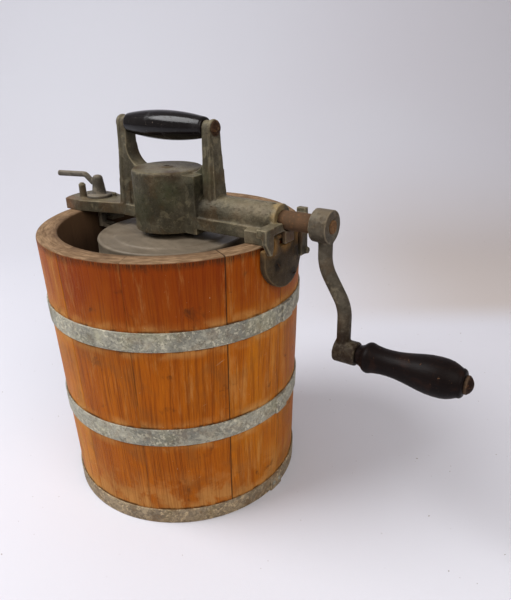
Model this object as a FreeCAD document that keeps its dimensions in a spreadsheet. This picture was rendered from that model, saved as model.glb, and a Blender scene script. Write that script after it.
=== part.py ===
import FreeCAD, Part
import math
import os
import re

import Sketcher
from FreeCAD import Placement, Rotation, Vector

# Hand cranked ice cream freezer: a coopered wooden tub, a tin can on a pivot inside it, and a cast
# gear frame across the rim that turns the can. Millimetres. The origin is on the tub's axis at the
# floor, +Z is up and +X points along the crankshaft towards the crank.

SIZES = [
    # tub
    ("rim_radius", 133, "outside of the staves at the rim"),
    ("base_radius", 124, "outside of the staves at floor level"),
    ("tub_height", 285, "floor to rim"),
    ("stave_wall", 21, "stave thickness"),
    ("chime", 2, "how far the staves stop above the floor"),
    ("first_joint", -28.3, "angle of the first stave joint"),
    ("croze_depth", 5, "how far the bottom boards enter the staves"),
    ("board_bottom", 18, "underside of the bottom boards"),
    ("board_thick", 14, "thickness of the bottom boards"),
    ("board_width", 78, "width of the middle bottom board"),
    # hoops
    ("hoop_thick", 1.5, "thickness of the hoop strip"),
    ("hoop_fit", 0.1, "clearance of strip and plates to the staves"),
    ("hoop_width", 19, "width of the middle and upper hoops"),
    ("base_hoop_width", 17, "width of the lower hoop"),
    ("middle_hoop_bottom", 98, "lower edge of the middle hoop"),
    ("upper_hoop_bottom", 201, "lower edge of the upper hoop"),
    ("lap_angle", 9, "angle that a hoop's end laps over its start"),
    ("lap_lower", -0.8, "lap of the lower hoop, round from +X"),
    ("lap_middle", 2.4, "lap of the middle hoop, round from +X"),
    ("lap_upper", 5.5, "lap of the upper hoop, round from +X"),
    ("rivet_radius", 2.6, "hoop rivet head"),
    # floor pivot and can
    ("plate_radius", 20, "floor pivot plate"),
    ("plate_thick", 3, "floor pivot plate"),
    ("pivot_radius", 5, "floor pivot pin"),
    ("pivot_height", 9, "floor pivot pin above its plate"),
    ("run_fit", 0.05, "radial clearance of a running fit"),
    ("loose_fit", 0.4, "radial clearance of a loose fit"),
    ("can_radius", 73, "outside of the can"),
    ("can_sheet", 1, "can wall thickness"),
    ("can_floor", 3, "can bottom thickness"),
    ("cup_radius", 11, "boss of the can bottom"),
    ("cup_web", 3, "metal between the can bottom's two sockets"),
    ("cup_depth", 8, "depth of the socket for the dasher"),
    ("foot_gap", 2, "can bottom boss above the pivot plate"),
    ("lid_top", 11, "top of the lid below the rim"),
    ("lid_thick", 3, "lid plate"),
    ("lid_wall", 2.4, "lid skirt"),
    ("lid_skirt", 14, "depth of the lid skirt"),
    ("lid_bead", 2.2, "rounding of the lid edge"),
    ("lid_disc_radius", 58, "raised disc on the lid"),
    ("lid_disc_step", 1, "height of the raised disc"),
    # dasher
    ("stem_radius", 6, "dasher stem"),
    ("dasher_pin_radius", 4, "lower pin of the dasher"),
    ("dasher_half_width", 58, "dasher frame, half its width"),
    ("dasher_bar", 9, "width of the dasher's bars"),
    ("dasher_thick", 8, "thickness of the dasher frame"),
    ("dasher_top", 22, "top of the dasher frame below the lid"),
    ("scraper_thick", 7, "wooden scraper blade"),
    ("scraper_gap", 0.8, "scraper edge to the can wall"),
    ("scraper_overlap", 6, "how far a scraper laps its bar"),
    ("scraper_inset", 12, "scraper ends inside the dasher frame"),
    ("square_size", 8, "square end of the stem"),
    ("square_length", 10, "square end of the stem"),
    ("square_fit", 0.3, "clearance of the square end on each side"),
    ("scraper_rivet", 1.2, "shank of a scraper rivet"),
    ("scraper_rivet_head", 2, "head of a scraper rivet"),
    # gear frame casting
    ("shaft_height", 19, "crankshaft axis above the rim"),
    ("bar_thick", 12, "cross bar"),
    ("left_waist", 11, "cross bar at the left upright, half its width"),
    ("right_waist", 16, "cross bar at the right upright, half its width"),
    ("left_reach", 1, "left end of the cross bar beyond the rim"),
    ("left_half", 24, "left end of the cross bar, half its width"),
    ("end_bow", 45, "radius of the bowed left end"),
    ("right_reach", 1, "right end of the cross bar beyond the rim"),
    ("right_half", 26, "right end of the cross bar, half its width"),
    ("flare", 24, "length of the full-width part of each end"),
    ("flare_step", 3, "run of the step to the wide right end"),
    ("drum_radius", 35.5, "gear housing"),
    ("drum_wall", 8, "gear housing wall"),
    ("drum_top", 54, "top of the gear housing above the rim"),
    ("drum_bottom", 5, "underside of the gear housing below the rim"),
    ("drum_roof", 5, "gear housing top thickness"),
    ("drum_edge", 3, "rounding of the housing's top edge"),
    ("neck_reach", 46.5, "square neck of the housing towards the crank"),
    ("neck_half", 16, "square neck, half its width"),
    ("barrel_radius", 14, "crankshaft barrel"),
    ("upright_inner", 51.5, "inner face of the right upright of the carry handle"),
    ("upright_left", 46.5, "inner face of the left upright"),
    ("upright_thick", 11.5, "upper part of the uprights"),
    ("upright_foot_thick", 16, "foot of the uprights"),
    ("upright_straight", 9, "straight part of the uprights' outer faces below the grip"),
    ("upright_top_radius", 8, "rounded top of the uprights"),
    ("upright_foot_half", 11.5, "foot of the uprights, half its width"),
    ("face_thick", 6.5, "inner layer of an upright"),
    ("groove_thick", 1.2, "groove between the inner layer and the bead"),
    ("bead_thick", 3, "bead round an upright"),
    ("face_inset", 1.2, "inner layer behind the bead's edge"),
    ("groove_inset", 2.7, "groove behind the bead's edge"),
    ("outer_inset", 1.6, "outer layer behind the bead's edge"),
    ("left_web_half", 8.5, "web between housing and left upright, half its thickness"),
    ("right_web_half", 3.5, "web between housing and right upright, half its thickness"),
    ("web_curve", 22, "radius of the web's upper edge"),
    ("web_lap", 3, "how far a web reaches into its upright"),
    ("grip_height", 40, "carry grip axis above the gear housing"),
    ("grip_end_radius", 9.3, "ends of the carry grip"),
    ("grip_mid_radius", 14, "middle of the carry grip"),
    ("grip_bolt_radius", 3.5, "through bolt of the carry grip"),
    ("grip_bolt_head", 7.3, "riveted heads of the through bolt"),
    ("grip_head_rise", 3.6, "height of the riveted heads"),
    ("oil_radius", 2.2, "oil holes"),
    ("oil_ring_radius", 5.5, "raised ring round the top oil hole"),
    ("oil_ring_rise", 1, "raised ring round the top oil hole"),
    ("cover_thick", 3, "plate that closes the housing"),
    ("cover_lip", 5.7, "metal round the cover"),
    ("boss_radius", 4, "screw bosses inside the housing"),
    ("boss_circle", 24.5, "circle of the screw bosses"),
    ("socket_wall", 4, "boss round the square socket"),
    ("boss_length", 12, "screw bosses"),
    ("small_screw", 1.7, "cover screw"),
    ("small_head", 3, "cover screw head"),
    ("small_head_thick", 1.4, "cover screw head"),
    ("small_screw_length", 8, "cover screw"),
    ("snug_fit", 0.02, "radial clearance of pressed pieces"),
    # right hand end: a head across the bar whose tongue sits over the bracket's pin
    ("head_top", 18.5, "top of the end head above the rim"),
    ("head_under", 10.5, "underside of the end head above the rim"),
    ("head_front", 7.5, "front of the end head beyond the rim"),
    ("head_lap", 3, "how far the end head reaches back over the bar"),
    ("head_side", 37.5, "front end of the end head"),
    ("head_far_side", 36, "back end of the end head"),
    ("arm_proud", 1, "arms in front of the end head"),
    ("front_arm_back", 4, "back face of the front arm beyond the rim"),
    ("front_arm_outer", 38, "front arm, outer side"),
    ("front_arm_inner", 25, "front arm, inner side"),
    ("front_arm_shoulder", 6, "end of the front arm's straight side above the rim"),
    ("front_arm_drop", 6, "tip of the front arm below the rim"),
    ("front_tip_inner", 27.5, "tip of the front arm, inner side"),
    ("front_tip_outer", 30.5, "tip of the front arm, outer side"),
    ("back_arm_back", 4.6, "back face of the back arm beyond the rim"),
    ("back_arm_inner", 22, "back arm, inner side"),
    ("back_arm_outer", 34, "back arm, outer side"),
    ("back_arm_drop", 21, "end of the back arm below the rim"),
    ("back_knob_radius", 3.2, "knob on the back arm"),
    ("back_knob_side", 31, "knob on the back arm, from the middle"),
    ("back_knob_drop", 17.5, "knob on the back arm below the rim"),
    ("back_knob_proud", 2.5, "knob on the back arm"),
    ("rear_lug_start", 30, "lug on top of the head, inner side"),
    ("rear_lug_rise", 4.5, "lug on top of the head"),
    ("tongue_front_side", 4.5, "tongue, front side"),
    ("tongue_back_side", 10.8, "tongue, back side"),
    ("tongue_drop", 2, "lip of the tongue below the rim"),
    ("tongue_rise", 0.5, "tongue above the rim, behind its lip"),
    ("cavity_start", 4.5, "back of the hollows in the bar, in from the rim"),
    ("front_cavity_near", 5, "front hollow, inner side"),
    ("back_cavity_near", 12, "back hollow, inner side"),
    ("pin_rise", 4.5, "bracket pin above the rim"),
    ("pin_stand", 0.5, "bracket pin beyond the rim"),
    ("pin_radius", 2.5, "bracket pin"),
    ("pin_proud", 1, "pin beyond the ears"),
    # bracket
    ("bracket_thick", 6, "bracket plate"),
    ("bracket_half", 33, "half the width of the bracket plate"),
    ("bracket_shift", 2.5, "middle of the bracket plate from the crankshaft's line"),
    ("bracket_top_drop", 3, "top of the bracket below the rim"),
    ("bracket_bottom_drop", 45, "bottom of the bracket below the rim"),
    ("bracket_margin", 1, "metal cut away round the plate's outline"),
    ("ear_radius", 4.2, "round end of the bracket's ears"),
    ("ear_root_drop", 9, "root of the ears below the rim"),
    ("ear_front", 6, "front of the ears beyond the rim"),
    ("ear_back", 0.3, "back of the ears' stems beyond the rim"),
    ("front_ear_inner", 12, "front ear, inner face"),
    ("front_ear_outer", 19, "front ear, outer face"),
    ("back_ear_inner", 14, "back ear, inner face"),
    ("back_ear_outer", 20, "back ear, outer face"),
    ("shield_rise", 27, "height of the bracket's round lower part"),
    ("screw_side", 13.5, "bracket screws from the middle"),
    ("screw_high_drop", 20, "upper bracket screw below the rim"),
    ("screw_low_drop", 35, "lower bracket screw below the rim"),
    ("wood_screw_radius", 2.2, "wood screw"),
    ("wood_screw_head", 4.6, "wood screw head"),
    ("wood_screw_length", 17, "wood screw"),
    # crank
    ("shaft_radius", 6, "crankshaft"),
    ("shaft_inner_end", 12.5, "inner end of the crankshaft from the tub's axis"),
    ("sleeve_radius", 8.6, "sleeve outside the barrel"),
    ("end_float", 0.5, "gap between barrel and sleeve"),
    ("sleeve_length", 33.5, "sleeve between barrel and crank boss"),
    ("crank_boss_length", 16.5, "crank boss"),
    ("crank_boss_radius", 14.6, "crank boss"),
    ("crank_throw", 114, "crankshaft axis to knob axis"),
    ("crank_bend", 21, "sideways bend of the crank arm"),
    ("crank_bend_start", 36, "top of the bend below the shaft"),
    ("crank_bend_run", 35, "height of the bend"),
    ("crank_curve", 38, "curves of the bend"),
    ("shaft_proud", 1, "shaft end beyond the crank boss"),
    ("crank_arm_radius", 6.4, "crank arm"),
    ("elbow_inner", 8, "inner face of the elbow boss beyond the crank boss"),
    ("elbow_length", 21, "elbow boss"),
    ("elbow_radius", 11, "elbow boss"),
    ("knob_length", 95, "turned knob"),
    ("knob_neck_radius", 8.8, "knob at the elbow"),
    ("knob_flare_radius", 13.8, "knob flare"),
    ("knob_flare_place", 10, "knob flare from the elbow end"),
    ("knob_flare_width", 4, "knob flare"),
    ("knob_waist_curve", 78, "hollow curve of the knob"),
    ("knob_shoulder_place", 60, "where the bulb begins"),
    ("knob_shoulder_radius", 15.8, "knob where the bulb begins"),
    ("knob_bulb_curve", 46, "round curve of the bulb"),
    ("knob_round", 3, "rounded outer end of the knob"),
    ("knob_crown_radius", 12.5, "knob before its rounded end"),
    ("knob_end_radius", 10, "outer end of the knob"),
    ("spindle_radius", 4, "knob spindle"),
    ("spindle_head_radius", 8.2, "button at the end of the spindle"),
    ("spindle_head_length", 6.5, "button at the end of the spindle"),
    ("spindle_rivet", 1.5, "riveted inner end of the spindle"),
    # bevel gears, both cut towards the point where their axes cross
    ("tooth_module", 1.75, "tooth size at the outer end"),
    ("gear_teeth", 24, "teeth of the can gear"),
    ("pinion_teeth", 12, "teeth of the pinion"),
    ("tooth_face", 0.26, "share of the cone that the teeth cover"),
    ("tooth_tip", 0.75, "tip height in modules"),
    ("tooth_root", 1.05, "root depth in modules"),
    ("tooth_share", 0.4, "tooth thickness as a share of the pitch"),
    ("hub_wall", 2.7, "hollow hub of the can gear"),
    ("gear_back", 17, "back of the can gear above the shaft axis"),
    ("gear_rim", 1.4, "can gear outside its teeth"),
    ("pinion_hub_radius", 8.2, "pinion hub"),
    ("pinion_hub_length", 4.5, "pinion hub"),
    ("cross_pin_radius", 1.2, "pin through pinion and shaft"),
    ("hub_collar", 2, "collar of the can gear that rests on the cover"),
    ("driver_radius", 14, "driver ring under the cover"),
    ("driver_thick", 4, "driver ring"),
    ("driver_arm_reach", 21, "driver arms from the axis"),
    ("driver_arm_half", 3, "half the width of a driver arm"),
    ("lug_thick", 4, "lugs on the lid"),
    ("lug_length", 5, "lugs on the lid"),
    ("lug_height", 4, "lugs on the lid"),
    ("lug_gap", 0.6, "lug to driver arm"),
    ("seat_gap", 0.6, "driver above the lid"),
    # latch
    ("latch_x", 28, "latch pivot in from the rim"),
    ("latch_spindle_radius", 4.5, "latch spindle"),
    ("latch_foot_radius", 13.5, "foot of the latch lever"),
    ("latch_foot_thick", 3.5, "foot of the latch lever"),
    ("latch_post_radius", 7.8, "foot of the latch lever's post"),
    ("latch_post_top", 5.6, "top of the latch lever's post"),
    ("latch_post_height", 24, "post of the latch lever"),
    ("latch_crown", 4, "rounded top of the post"),
    ("latch_rod_radius", 3.1, "rod of the latch lever"),
    ("latch_rod_start", 15, "height of the rod in the post"),
    ("latch_rod_rise", 9, "bend of the rod"),
    ("latch_rod_run", 6, "straight of the rod before its bend"),
    ("latch_bend_run", 9, "length of the bend"),
    ("latch_bend_radius", 6, "curves of the bend"),
    ("latch_tang", 10, "spindle inside the post"),
    ("latch_reach", 49.5, "tip of the lever from its pivot"),
    ("latch_swing", 15, "angle of the lever from -X"),
    ("hook_drop", 21, "underside of the hook below the rim"),
    ("hook_thick", 5, "latch hook"),
    ("hook_reach", 17, "latch hook"),
    ("hook_half", 3.5, "half the width of the latch hook"),
    ("peg_radius", 2.4, "low stop peg, beside the upright"),
    ("peg_circle", 16.4, "low stop peg from the latch pivot"),
    ("peg_height", 4, "low stop peg"),
    ("tall_peg_radius", 3.8, "tall stop peg, at the rim"),
    ("tall_peg_circle", 18, "tall stop peg from the latch pivot"),
    ("tall_peg_height", 16, "tall stop peg"),
    ("tall_peg_crown", 1.6, "smaller top of the tall stop peg"),
    ("peg_angle", 35, "line through the stop pegs, round from +X"),
    ("keeper_angle", 171.3, "middle of the keeper round the tub"),
    ("keeper_span", 9.5, "width of the keeper in degrees"),
    ("keeper_plate", 3, "keeper plate"),
    ("keeper_height", 13, "keeper plate"),
    ("keeper_lip", 4, "thickness of the keeper's lip"),
    ("keeper_reach", 12, "how far the lip stands out"),
    ("keeper_drop", 2, "keeper below the rim"),
]

# Heights above the floor that follow from the sizes. The sheet works them out in this order.
LEVELS = [
    ("lid_level", "tub_height - lid_top", "top of the lid"),
    ("dasher_level", "lid_level - dasher_top", "top of the dasher frame"),
    ("shaft_level", "tub_height + shaft_height", "crankshaft axis"),
    ("drum_level", "tub_height + drum_top", "top of the gear housing"),
    ("drum_floor", "tub_height - drum_bottom", "underside of the gear housing"),
    ("grip_level", "drum_level + grip_height", "carry grip axis"),
    ("slope_level", "grip_level - upright_straight", "where the uprights begin to slope outwards"),
]

# Angles in degrees that the staves take up, going round clockwise from the first joint.
STAVE_ANGLES = [39, 30, 27, 32, 26, 31, 29, 33, 26, 30, 28, 29]

doc = FreeCAD.newDocument("hand_crank_freezer")
sheet = doc.addObject("Spreadsheet::Sheet", "Sizes")
parts = []


def fill_sheet():
    """The sizes as numbers, and below them the levels as formulas."""
    places = {}
    for row, (alias, number, note) in enumerate(SIZES, start=1):
        fill_row(row, alias, str(number), note)
        places[alias] = "B%d" % row
    for row, (alias, formula, note) in enumerate(LEVELS, start=len(SIZES) + 1):
        fill_row(row, alias, "=" + re.sub(r"[a-z_]+", lambda m: places[m[0]], formula), note)
        places[alias] = "B%d" % row
    doc.recompute()


def fill_row(row, alias, content, note):
    sheet.set("A%d" % row, alias)
    sheet.set("B%d" % row, content)
    sheet.set("C%d" % row, note)
    sheet.setAlias("B%d" % row, alias)


ALIASES = {alias for alias, content, note in SIZES + LEVELS}


def linked(text):
    """The text of a formula with each size name pointed at the sheet."""
    return re.sub(r"[a-z_]+[a-z0-9_]*", lambda m: "Sizes." + m[0] if m[0] in ALIASES else m[0], str(text))


def number(text):
    """The present value of a formula."""
    return float(sheet.evalExpression(linked(text)))


# Places worked out from the sizes, as formulas.
def outside(z):
    """Radius of the outside of the staves at height z."""
    return "(base_radius + (rim_radius - base_radius) * (%s) / tub_height)" % z


def inside(z):
    return "(%s - stave_wall)" % outside(z)


BOARD_TOP = "(board_bottom + board_thick)"
PLATE_TOP = "(board_bottom + board_thick + plate_thick)"
PIVOT_TOP = "(board_bottom + board_thick + plate_thick + pivot_height)"
CUP_BOTTOM = "(board_bottom + board_thick + plate_thick + foot_gap)"
CUP_TOP = "(%s + cup_web + cup_depth)" % PIVOT_TOP
LID_UNDER = "(lid_level - lid_disc_step - lid_thick)"
BAR_TOP = "(tub_height + bar_thick)"
LEFT_REACH = "(rim_radius + left_reach)"
RIGHT_REACH = "(rim_radius + right_reach)"
CAVITY_RADIUS = "(drum_radius - drum_wall)"
CAVITY_TOP = "(drum_level - drum_roof)"
SOCKET_BOTTOM = "(drum_level - drum_roof + 1 - square_length)"
LEFT_OUTER = "(upright_left + upright_foot_thick)"
RIGHT_OUTER = "(upright_inner + upright_foot_thick)"
PIN_X = "(rim_radius + pin_stand)"
PIN_Z = "(tub_height + pin_rise)"
LATCH_PIVOT = "(rim_radius - latch_x)"
KNOB_HEIGHT = "(shaft_level - crank_throw)"
SLEEVE_START = "(%s + end_float)" % RIGHT_REACH
BOSS_START = "(%s + sleeve_length)" % SLEEVE_START
BOSS_FACE = "(%s + crank_boss_length)" % BOSS_START
ELBOW_INNER = "(%s + elbow_inner)" % BOSS_FACE
KNOB_START = "(%s + elbow_length + loose_fit)" % ELBOW_INNER
KNOB_END = "(%s + knob_length)" % KNOB_START
GEAR_PITCH = "(tooth_module * gear_teeth / 2)"
PINION_PITCH = "(tooth_module * pinion_teeth / 2)"
DRIVER_BOTTOM = "(lid_level + seat_gap)"
HUB_OUTER = "(stem_radius + loose_fit + hub_wall)"


def new_body(label, place=("0", "0", "0"), turn=None):
    """A body with its own Label and a Placement bound to the sheet."""
    body = doc.addObject("PartDesign::Body", label)
    body.Label = label
    for letter, formula in zip("xyz", place):
        body.setExpression("Placement.Base." + letter, linked(formula))
    if turn:
        axis, angle = turn
        body.Placement = Placement(Vector(), Rotation(axis, number(angle)))
        body.setExpression("Placement.Rotation.Angle", "(%s) * 1 deg" % linked(angle))
    parts.append(body)
    return body


def new_sketch(body, role, offset="0"):
    """An empty sketch on an origin plane of the body, moved along the plane's normal."""
    sketch = body.newObject("Sketcher::SketchObject", body.Name + "_sketch")
    plane = next(o for o in body.Origin.OriginFeatures if o.Role == role)
    sketch.AttachmentSupport = [(plane, "")]
    sketch.MapMode = "FlatFace"
    sketch.setExpression("AttachmentOffset.Base.z", linked(offset))
    return sketch


def fix(sketch, kind, geometry, corner, formula):
    """A dimension from the sketch's origin to a point, bound to a formula."""
    index = sketch.addConstraint(Sketcher.Constraint(kind, -1, 1, geometry, corner, number(formula)))
    sketch.setExpression("Constraints[%d]" % index, linked(formula))


def arc_middle(start, end, radius, left):
    """The point half way along an arc that bulges to the left or right of its chord."""
    chord = end - start
    half = chord.Length / 2
    side = Vector(-chord.y, chord.x, 0).normalize() * (1 if left else -1)
    rise = radius - math.sqrt(max(radius ** 2 - half ** 2, 0))
    return (start + end) / 2 + side * rise


def outline(sketch, points, closed=True):
    """A chain of sides. A point is (x, y) for a straight side to the next point, or
    (x, y, radius, side) for an arc that bulges to that side of the way on."""
    first = sketch.GeometryCount
    count = len(points) if closed else len(points) - 1
    places = [Vector(number(p[0]), number(p[1]), 0) for p in points]
    for i in range(count):
        start, end = places[i], places[(i + 1) % len(points)]
        if len(points[i]) == 2:
            sketch.addGeometry(Part.LineSegment(start, end), False)
            continue
        middle = arc_middle(start, end, number(points[i][2]), points[i][3] == "left")
        sketch.addGeometry(Part.ArcOfCircle(start, middle, end), False)
    # A sketch keeps each arc anticlockwise, so one that bulges left starts at its corner 2.
    flipped = [len(p) == 4 and p[3] == "left" for p in points]
    for i in range(count):
        leave, enter = (1, 2) if flipped[i] else (2, 1)
        follower = (i + 1) % len(points)
        if closed or i + 1 < count:
            join = 2 if flipped[follower] else 1
            meet = Sketcher.Constraint("Coincident", first + i, leave, first + follower, join)
            sketch.addConstraint(meet)
        fix(sketch, "DistanceX", first + i, enter, points[i][0])
        fix(sketch, "DistanceY", first + i, enter, points[i][1])
        if len(points[i]) == 4:
            row = sketch.addConstraint(Sketcher.Constraint("Radius", first + i, number(points[i][2])))
            sketch.setExpression("Constraints[%d]" % row, linked(points[i][2]))
    if not closed:
        last = 1 if flipped[count - 1] else 2
        fix(sketch, "DistanceX", first + count - 1, last, points[-1][0])
        fix(sketch, "DistanceY", first + count - 1, last, points[-1][1])


def s_bend(start_x, start_y, down, sideways, run, radius, end_y):
    """Points of a path that goes straight down, moves sideways in two tangent curves and goes
    straight down again. down is the length before the bend, run the height of the bend."""
    angle = "atan((%s) / (%s))" % (sideways, run)
    cut = "((%s) * tan(%s / 2))" % (radius, angle)
    high = "(%s - (%s))" % (start_y, down)
    low = "(%s - (%s))" % (high, run)
    far = "(%s + (%s))" % (start_x, sideways)
    return [
        (start_x, start_y),
        (start_x, "%s + %s" % (high, cut), radius, "right"),
        ("%s + %s * sin(%s)" % (start_x, cut, angle), "%s - %s * cos(%s)" % (high, cut, angle)),
        ("%s - %s * sin(%s)" % (far, cut, angle), "%s + %s * cos(%s)" % (low, cut, angle), radius, "left"),
        (far, "%s - %s" % (low, cut)),
        (far, end_y),
    ]


def circle(sketch, radius, x="0", y="0"):
    index = sketch.GeometryCount
    centre = Vector(number(x), number(y), 0)
    sketch.addGeometry(Part.Circle(centre, Vector(0, 0, 1), number(radius)), False)
    fix(sketch, "DistanceX", index, 3, x)
    fix(sketch, "DistanceY", index, 3, y)
    row = sketch.addConstraint(Sketcher.Constraint("Radius", index, number(radius)))
    sketch.setExpression("Constraints[%d]" % row, linked(radius))


def box_outline(sketch, low_x, low_y, high_x, high_y):
    outline(sketch, [(low_x, low_y), (high_x, low_y), (high_x, high_y), (low_x, high_y)])


def extrude(kind, body, sketch, length, back=False, middle=False):
    """A Pad or a Pocket. It raises if a Pocket takes nothing away or a Pad adds nothing."""
    doc.recompute()
    before = body.Shape.Volume if body.Shape.Faces else 0
    feature = body.newObject("PartDesign::" + kind, body.Name + "_" + kind.lower())
    feature.Profile = sketch
    feature.setExpression("Length", linked(length))
    feature.Reversed = back
    if middle:
        feature.Midplane = True
    doc.recompute()
    change = body.Shape.Volume - before
    if change * (1 if kind == "Pad" else -1) <= 1e-6:
        raise RuntimeError("%s of %s changes nothing" % (kind, body.Label))
    return feature


def pad(body, sketch, length, **options):
    return extrude("Pad", body, sketch, length, **options)


def pocket(body, sketch, length, **options):
    return extrude("Pocket", body, sketch, length, **options)


def revolve(body, sketch, axis, angle=None, middle=False):
    feature = body.newObject("PartDesign::Revolution", body.Name + "_turned")
    feature.Profile = sketch
    feature.ReferenceAxis = (sketch, [axis])
    feature.Angle = 360
    if angle:
        feature.setExpression("Angle", linked(angle))
    feature.Midplane = middle
    return feature


def turned(label, axis, points, place=("0", "0", "0")):
    """A body turned on a lathe: axis H_Axis is the body's own X, V_Axis its own Z."""
    body = new_body(label, place)
    sketch = new_sketch(body, "XZ_Plane")
    outline(sketch, points)
    revolve(body, sketch, axis)
    return body


def polar(body, features, role, count):
    """Copies of features spaced evenly round an origin axis."""
    pattern = body.newObject("PartDesign::PolarPattern", body.Name + "_pattern")
    pattern.Originals = features
    axis = next(o for o in body.Origin.OriginFeatures if o.Role == role)
    pattern.Axis = (axis, [""])
    pattern.Angle = 360
    pattern.Occurrences = count
    body.Tip = pattern
    return pattern


def mirror(body, features, role):
    """Copies of features mirrored in an origin plane."""
    copy = body.newObject("PartDesign::Mirrored", body.Name + "_mirrored")
    copy.Originals = features
    plane = next(o for o in body.Origin.OriginFeatures if o.Role == role)
    copy.MirrorPlane = (plane, [""])
    body.Tip = copy
    doc.recompute()
    return copy


def group(label, shapes):
    """Identical small pieces that share a label, each a solid of its own."""
    feature = doc.addObject("Part::Feature", label)
    feature.Label = label
    feature.Shape = Part.makeCompound(shapes)
    parts.append(feature)


def domed_pin(head_radius, head_rise, radius, length):
    """A pin along +Z with a domed head above the origin and its shank below."""
    shank = Part.makeCylinder(radius, length, Vector(0, 0, -length))
    ball = (head_radius ** 2 + head_rise ** 2) / (2 * head_rise)
    dome = Part.makeSphere(ball, Vector(0, 0, head_rise - ball))
    dome = dome.common(Part.makeCylinder(head_radius, head_rise))
    return dome.fuse(shank).removeSplitter()


def moved(shape, place):
    copy = shape.copy()
    copy.Placement = place.multiply(copy.Placement)
    return copy


def outward(radius, angle, height):
    """Placement on a circle round the tub with +Z of the piece pointing outwards."""
    spin = Rotation(Vector(0, 0, 1), angle)
    lie = Rotation(Vector(0, 1, 0), 90)
    return Placement(spin.multVec(Vector(radius, 0, height)), spin.multiply(lie))


# ------------------------------------------------------------------ the wooden tub
def make_staves():
    done = 0
    for i, angle in enumerate(STAVE_ANGLES):
        centre = "first_joint - %g" % (done + angle / 2)
        done += angle
        body = new_body("stave_%02d" % (i + 1), turn=(Vector(0, 0, 1), centre))
        groove = "(%s + croze_depth)" % inside("board_bottom")
        sketch = new_sketch(body, "XZ_Plane")
        outline(sketch, [
            (inside("chime"), "chime"),
            (outside("chime"), "chime"),
            ("rim_radius", "tub_height"),
            (inside("tub_height"), "tub_height"),
            (inside(BOARD_TOP), BOARD_TOP),
            (groove, BOARD_TOP),
            (groove, "board_bottom"),
            (inside("board_bottom"), "board_bottom"),
        ])
        revolve(body, sketch, "V_Axis", str(angle), middle=True)


def make_bottom_boards():
    radius = "%s + croze_depth - hoop_fit" % inside("board_bottom")
    edges = {"back": "board_width / 2", "middle": "-board_width / 2", "front": "-(%s)" % radius}
    widths = {"back": "%s - board_width / 2" % radius, "middle": "board_width",
              "front": "%s - board_width / 2" % radius}
    for name, edge in edges.items():
        disc = doc.addObject("Part::Cylinder", "disc_" + name)
        disc.setExpression("Radius", linked(radius))
        disc.setExpression("Height", linked("board_thick"))
        disc.setExpression("Placement.Base.z", linked("board_bottom"))
        plank = doc.addObject("Part::Box", "plank_" + name)
        plank.setExpression("Length", linked("2 * (%s)" % radius))
        plank.setExpression("Width", linked(widths[name]))
        plank.setExpression("Height", linked("board_thick"))
        plank.setExpression("Placement.Base.x", linked("-(%s)" % radius))
        plank.setExpression("Placement.Base.y", linked(edge))
        plank.setExpression("Placement.Base.z", linked("board_bottom"))
        board = doc.addObject("Part::Common", "bottom_board_" + name)
        board.Base = disc
        board.Tool = plank
        board.Label = "bottom_board_" + name
        parts.append(board)


HOOPS = {
    "hoop_lower": ("0", "base_hoop_width", "lap_lower"),
    "hoop_middle": ("middle_hoop_bottom", "hoop_width", "lap_middle"),
    "hoop_upper": ("upper_hoop_bottom", "hoop_width", "lap_upper"),
}


def make_hoops():
    for label, (low, width, lap) in HOOPS.items():
        high = "(%s + %s)" % (low, width)
        body = new_body(label, turn=(Vector(0, 0, 1), lap))
        rings = (("0", "hoop_thick", None), ("hoop_thick / 2", "2 * hoop_thick", "lap_angle"))
        for inner, outer, angle in rings:
            sketch = new_sketch(body, "XZ_Plane")
            outline(sketch, [
                ("%s + hoop_fit + %s" % (outside(low), inner), low),
                ("%s + hoop_fit + %s" % (outside(low), outer), low),
                ("%s + hoop_fit + %s" % (outside(high), outer), high),
                ("%s + hoop_fit + %s" % (outside(high), inner), high),
            ])
            revolve(body, sketch, "V_Axis", angle, middle=angle is not None)


def make_hoop_rivets():
    rivets = []
    head = number("rivet_radius")
    for low, width, lap in HOOPS.values():
        middle = number("%s + %s / 2" % (low, width))
        surface = number("%s + hoop_fit + 2 * hoop_thick" % outside(middle))
        for side in (-0.25, 0.25):
            angle = number("%s + %g * lap_angle" % (lap, side))
            pin = domed_pin(head, head / 2, head / 2, number("2 * hoop_thick"))
            rivets.append(moved(pin, outward(surface, angle, middle)))
    group("hoop_rivets", rivets)


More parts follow.
